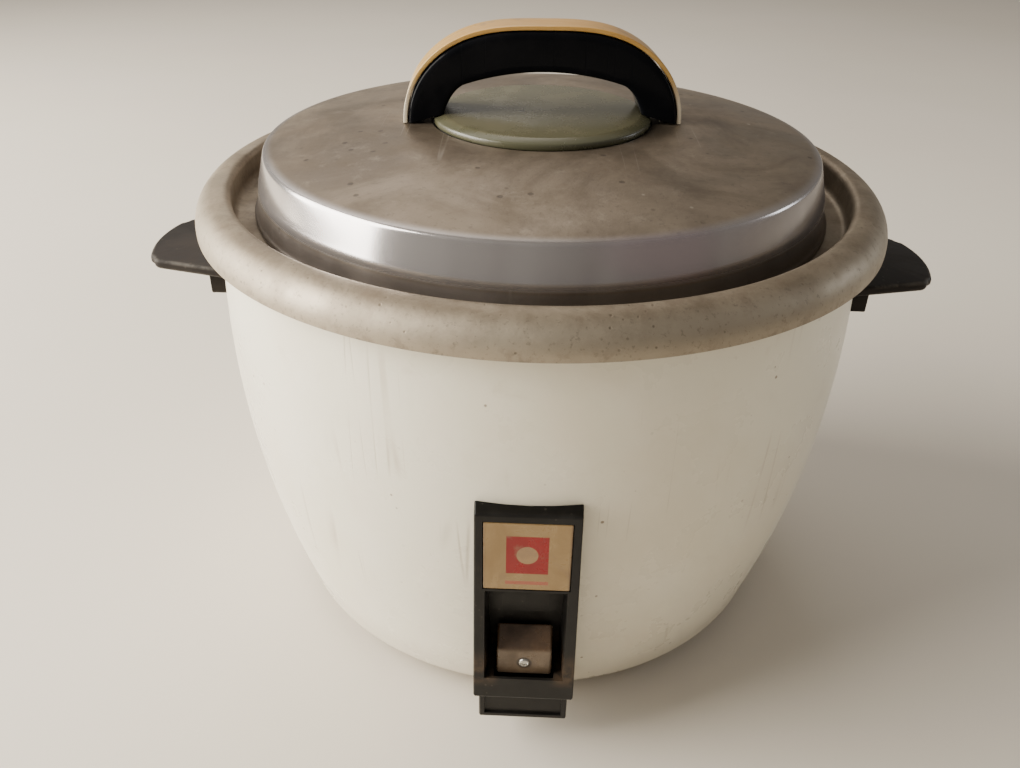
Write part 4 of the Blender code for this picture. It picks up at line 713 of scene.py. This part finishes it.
# squared half ellipse, drawn in by an inset: x = cos to a power, less a lean towards the top;
# z = sin to a power
def archLine(inset, base):
    half, rise = grip["half"] - inset, grip["rise"] - inset
    turn = np.linspace(0, np.pi, grip["steps"])
    turn = turn - 0.35 * np.sin(4 * turn) / 4
    cosine, sine = np.cos(turn), np.abs(np.sin(turn))
    x = np.sign(cosine) * np.abs(cosine) ** grip["powerX"] * (1 - grip["lean"] * sine ** 1.4)
    return np.stack([half * x, base + rise * sine ** grip["powerZ"]], axis=-1)


# finger gap: legs that lean in, then a shallow arch, top less (top - corner) (x / corner width) squared
def gapLine(base, top):
    half, corner = grip["footIn"], grip["footIn"] - grip["legLean"]
    bend = top - grip["archDrop"]
    x = np.linspace(corner - 0.0030, -corner + 0.0030, 30)
    arch = np.stack([x, top - (top - bend) * (x / corner) ** 2], axis=-1)
    legs = np.array([(half, base), (half - 0.0008, base + 0.25 * (bend - base)),
                     (corner + 0.0006, bend - 0.0022)])
    line = softLine(np.concatenate([legs, arch, (legs * [-1, 1])[::-1]]), 2)
    return evenly(line, grip["steps"], False)


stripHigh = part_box("handle_strip")[1].z
gripFoot = stripHigh - grip["rise"]
outerLine = evenly(archLine(grip["strip"] + grip["gap"], gripFoot), grip["steps"], False)
innerLine = gapLine(glassHigh.z + 0.0004, gripFoot + grip["rise"] - grip["strip"] - grip["thick"])
archGrid = turnedBy(sweptGrid(innerLine, outerLine, grip["halfWidth"], 0.20), lid["turn"])
addPiece("gripArch", [(archGrid, 0.0)], looks["bakelite"], "lid", ["lid_handle"])
stripInner, stripOuter = archLine(grip["strip"], gripFoot), archLine(0.0, gripFoot)
stripGrid = turnedBy(sweptGrid(stripInner, stripOuter, grip["stripHalf"], 0.16), lid["turn"])
addPiece("gripStrip", [(stripGrid, 0.0)], looks["ivory"], "lid", ["handle_strip"])
print("lid handle made")

# side handles
wing = {"thick": 0.0045, "tipHalf": 0.0250, "rootHalf": 0.0330, "bow": 0.0055, "corner": 0.0048,
        "padThick": 0.0065, "padInset": 0.0004, "clear": 0.0006, "edge": 0.0016, "padEdge": 0.0012}


# plate seen from above: an arc against the body, two tapering sides and a bowed outer edge
def wingOutline(reach, top):
    radius = wallRadius(top) + wing["clear"]
    rootY = np.linspace(wing["rootHalf"], -wing["rootHalf"], 25)
    root = np.stack([np.sqrt(radius ** 2 - rootY ** 2), rootY], axis=-1)
    tip, corner = wing["tipHalf"] - wing["corner"], wing["corner"]
    straight = reach - wing["bow"]
    lower = arcLine(straight - corner, -tip, corner, -78, -12, 9)
    y = np.linspace(-tip, tip, 31)[1:-1]
    outer = np.stack([straight + wing["bow"] * (1 - (y / wing["tipHalf"]) ** 2), y], axis=-1)
    upper = arcLine(straight - corner, tip, corner, 12, 78, 9)
    outline = np.concatenate([root, lower, outer, upper])
    return np.concatenate([outline, outline[:1]])


# the pad that bears on the body, between two arcs of circles
def padOutline(top):
    radius = wallRadius(top) + wing["clear"]
    half = wing["tipHalf"] - wing["padInset"]
    y = np.linspace(half, -half, 25)
    inner = np.stack([np.sqrt(radius ** 2 - y ** 2), y], axis=-1)
    outer = np.stack([np.full(25, radius + wing["padThick"]), -y], axis=-1)
    outline = np.concatenate([inner, outer])
    return np.concatenate([outline, outline[:1]])


for side, name in ((1, "right"), (-1, "left")):
    handleLow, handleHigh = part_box(f"side_handle_{name}")
    reach, top = max(abs(handleLow.x), abs(handleHigh.x)), handleHigh.z
    plate, plateWear = slabGrid(evenly(wingOutline(reach, top), 200), top - wing["thick"], top,
                                wing["edge"])
    pad, padWear = slabGrid(evenly(padOutline(top), 120), handleLow.z, top - wing["thick"] / 2,
                            wing["padEdge"])
    turn = 0.0 if side > 0 else 180.0
    addPiece(f"{name}Handle", [(turnedBy(plate, turn), plateWear), (turnedBy(pad, turn), padWear)],
             looks["charcoal"], "root", [f"side_handle_{name}"], crease=50.0)
print("side handles made")

# feet, heater plate and sensor cap, turned smooth
for i in range(1, 5):
    footLow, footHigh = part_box(f"foot_{i}")
    centre = ((footLow.x + footHigh.x) / 2, (footLow.y + footHigh.y) / 2)
    radius, high = (footHigh.x - footLow.x) / 2, footHigh.z
    line = softLine([(0.0036, 0.003), (0.0036, 0.0004), (0.0040, 0.0), (radius - 0.0018, 0.0),
                     (radius - 0.0002, 0.0006), (radius, 0.0024), (radius, high - 0.0006),
                     (radius - 0.0006, high), (0.0020, high), (0.0018, high - 0.0006), (0.0018, 0.0034),
                     (0.0022, 0.003), (0.0036, 0.003)], 2)
    addPiece(f"rubberFoot{i}", [(turnedGrid(line, 48, centre), 0.0)], looks["rubber"], "root",
             [f"foot_{i}"], crease=50.0)

heatLow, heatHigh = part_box("heater_plate")
bore, edge, low, high = 0.019, heatHigh.x, heatLow.z, heatHigh.z
heatLine = softLine([(bore, low), (edge - 0.005, low), (edge - 0.002, low + 0.002), (edge, low + 0.005),
                     (edge, high - 0.002), (edge - 0.0006, high - 0.0006), (edge - 0.002, high),
                     (bore + 0.0005, high), (bore, high - 0.0005), (bore, low)], 2)
addPiece("heaterPlate", [(turnedGrid(heatLine, 160), 0.0)], looks["cast"], "root", ["heater_plate"])

capLow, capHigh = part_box("sensor_cap")
capWall, edge, low, high = 0.001, capHigh.x, capLow.z, capHigh.z
capLine = softLine([(0.0, high), (edge - 0.0020, high), (edge - 0.0003, high - 0.0004),
                    (edge, high - 0.0022), (edge, low), (edge - capWall, low),
                    (edge - capWall, high - capWall), (0.0, high - capWall)], 2)
addPiece("sensorCap", [(turnedGrid(capLine, 96), 0.0)], looks["zinc"], "sensor", ["sensor_cap"],
         crease=50.0)

# press button: an outline of (y, z) with rounded corners, carried along x
buttonLow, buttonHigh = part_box("switch_button")


# each corner is left at a set distance before it and taken up at the same distance after it
def roundedOutline(corners, distance):
    corners = np.asarray(corners, float)
    ahead, behind = np.roll(corners, -1, axis=0) - corners, np.roll(corners, 1, axis=0) - corners
    ahead /= np.linalg.norm(ahead, axis=1, keepdims=True)
    behind /= np.linalg.norm(behind, axis=1, keepdims=True)
    share = np.linspace(0, 1, 7)[None, :, None]
    start, end = corners + distance * behind, corners + distance * ahead
    curve = ((1 - share) ** 2 * start[:, None] + 2 * share * (1 - share) * corners[:, None]
             + share ** 2 * end[:, None])
    return curve.reshape(-1, 2)


wedge = [(buttonLow.y, buttonLow.z), (buttonHigh.y, buttonLow.z), (buttonHigh.y, buttonHigh.z),
         (buttonLow.y, buttonLow.z + button["frontRise"])]
wedgeLine = roundedOutline(wedge, button["soft"])
wedgeGrid, wedgeWear = slabGrid(wedgeLine, buttonLow.x, buttonHigh.x, button["edge"])
addPiece("pressButton", [(wedgeGrid[..., [2, 0, 1]], wedgeWear)], looks["button"], "lever",
         ["switch_button"], crease=50.0)

# cross-head screw of the button: a dome sunk along two crossed bars
screw = {"headTall": 0.0012, "shank": 0.00125, "sunk": 0.0006, "barHalf": 0.00042, "barReach": 0.00145}
headLow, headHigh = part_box("button_screw")
headMiddle = (headLow.z + headHigh.z) / 2
share = np.linspace(0, 1, 22)[:, None]
turn = (np.arange(64) * 2 * np.pi / 64)[None, :]
headRadius, headTall = (headHigh.x - headLow.x) / 2, screw["headTall"]
shankLong = headHigh.y - headLow.y - headTall
across, upward = share * headRadius * np.cos(turn), share * headRadius * np.sin(turn)
bar = np.minimum(np.abs(across), np.abs(upward))
longBar = np.maximum(np.abs(across), np.abs(upward))
sunk = (np.clip((screw["barHalf"] - bar) / 0.00012, 0, 1)
        * np.clip((screw["barReach"] - longBar) / 0.00015, 0, 1))
dome = headTall * np.clip(1 - share ** 5, 0, 1) ** 0.5 - screw["sunk"] * sunk
dome = np.stack([across, headLow.y + headTall - dome, headMiddle + upward], axis=-1)
shank = np.array([(headRadius, 0.0), (screw["shank"], 0.0), (screw["shank"], shankLong),
                  (0.0, shankLong)])
shank = np.stack([shank[:, :1] * np.cos(turn), headLow.y + headTall + shank[:, 1:] + 0 * turn,
                  headMiddle + shank[:, :1] * np.sin(turn)], axis=-1)
addPiece("buttonScrew", [(np.concatenate([dome, shank]), 0.0)], looks["zinc"], "lever", ["button_screw"],
         crease=45.0)
print("small turned pieces made")

# finishes of the CAD nodes that stay
kept = {
    "housing": ["switch_housing", "housing_lower_cover"],
    "label": ["label_lens"],
    "inlet": ["inlet_housing", "contact_block", "contact_spacer"],
    "zinc": ["base_plate", "heat_shield", "heating_element", "lever_bracket", "switch_lever",
             "thermal_fuse", "thermostat_cup"],
    "spring": ["return_spring", "sensor_spring", "lever_pin"],
    "brass": ["contact_blade_1", "contact_blade_2", "inlet_pin_1", "inlet_pin_2", "plunger_rod"],
    "ferrite": ["sensor_ferrite", "plunger_magnet"], "rubber": ["window_gasket"],
    "glass": ["pilot_lamp"], "wire": ["wire_live", "wire_neutral"],
}
zincCounts = {"heater_leg": 3, "foot_screw": 4, "handle_screw": 2, "housing_screw": 2,
              "wing_screw_left": 2, "wing_screw_right": 2}
for stem, count in zincCounts.items():
    kept["zinc"] += [f"{stem}_{i}" for i in range(1, count + 1)]
for look, names in kept.items():
    for name in names:
        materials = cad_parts[name].data.materials
        materials.clear()
        materials.append(looks[look])
print("finishes on the CAD nodes:", sum(len(names) for names in kept.values()))


# floor, light and camera
def floorLook():
    look = newLook("paleFloor", Roughness=0.55)
    clouds = between(look, noise(look, 3, 4), 0.35, 0.7)
    feed(look, "Base Color", blended(look, clouds, (0.69, 0.63, 0.54), (0.67, 0.61, 0.52)))
    return look


floorMesh = bpy.data.meshes.new("floor")
floorHalf = 6
floorMesh.from_pydata([(-floorHalf, -floorHalf, 0), (floorHalf, -floorHalf, 0), (floorHalf, floorHalf, 0),
                       (-floorHalf, floorHalf, 0)], [], [(0, 1, 2, 3)])
floorMesh.materials.append(floorLook())
floor = bpy.data.objects.new("floor", floorMesh)
bpy.context.scene.collection.objects.link(floor)

lamps = {"window": {"at": (-1.5, -0.16, 0.80), "size": (1.45, 1.5), "power": 112.0,
                    "tone": (1.0, 0.955, 0.87)},
         "room": {"at": (1.4, 0.35, 0.50), "size": (0.35, 0.5), "power": 2.2, "tone": (0.92, 0.96, 1.0)},
         "back": {"at": (-0.55, 1.2, 1.5), "size": (1.5, 1.2), "power": 13.0, "tone": (1.0, 0.95, 0.90)}}
lampTarget = Vector((0, 0, 0.12))
sky = {"tone": (0.90, 0.845, 0.77, 1.0), "strength": 0.33}
for name, facts in lamps.items():
    data = bpy.data.lights.new(name, "AREA")
    data.shape = "RECTANGLE"
    data.size, data.size_y = facts["size"]
    data.energy = facts["power"]
    data.color = facts["tone"]
    lamp = bpy.data.objects.new(name, data)
    lamp.location = facts["at"]
    lamp.rotation_euler = (lampTarget - lamp.location).to_track_quat("-Z", "Y").to_euler()
    bpy.context.scene.collection.objects.link(lamp)

world = bpy.data.worlds.new("room")
world.use_nodes = True
background = world.node_tree.nodes["Background"]
background.inputs["Color"].default_value = sky["tone"]
background.inputs["Strength"].default_value = sky["strength"]
bpy.context.scene.world = world

view = {"sensor": 36.0, "lens": 31.434, "down": 31.93, "roll": 0.93, "yaw": 1.74, "back": 0.37874,
        "high": 0.32678}
down, roll, yaw = (math.radians(view[key]) for key in ("down", "roll", "yaw"))
forward = Vector((-math.sin(yaw) * math.cos(down), math.cos(yaw) * math.cos(down), -math.sin(down)))
level = Vector((math.cos(yaw), math.sin(yaw), 0.0))
upright = level.cross(forward)
right = math.cos(roll) * level + math.sin(roll) * upright
above = -math.sin(roll) * level + math.cos(roll) * upright
eye = bpy.data.cameras.new("eye")
eye.sensor_width, eye.lens = view["sensor"], view["lens"]
eye.clip_start = 0.01
camera = bpy.data.objects.new("camera", eye)
camera.matrix_world = Matrix((
    (right.x, above.x, -forward.x, 0.0), (right.y, above.y, -forward.y, -view["back"]),
    (right.z, above.z, -forward.z, view["high"]), (0.0, 0.0, 0.0, 1.0)))
bpy.context.scene.collection.objects.link(camera)
bpy.context.scene.camera = camera
print("floor, light and camera made")

bpy.context.view_layer.update()
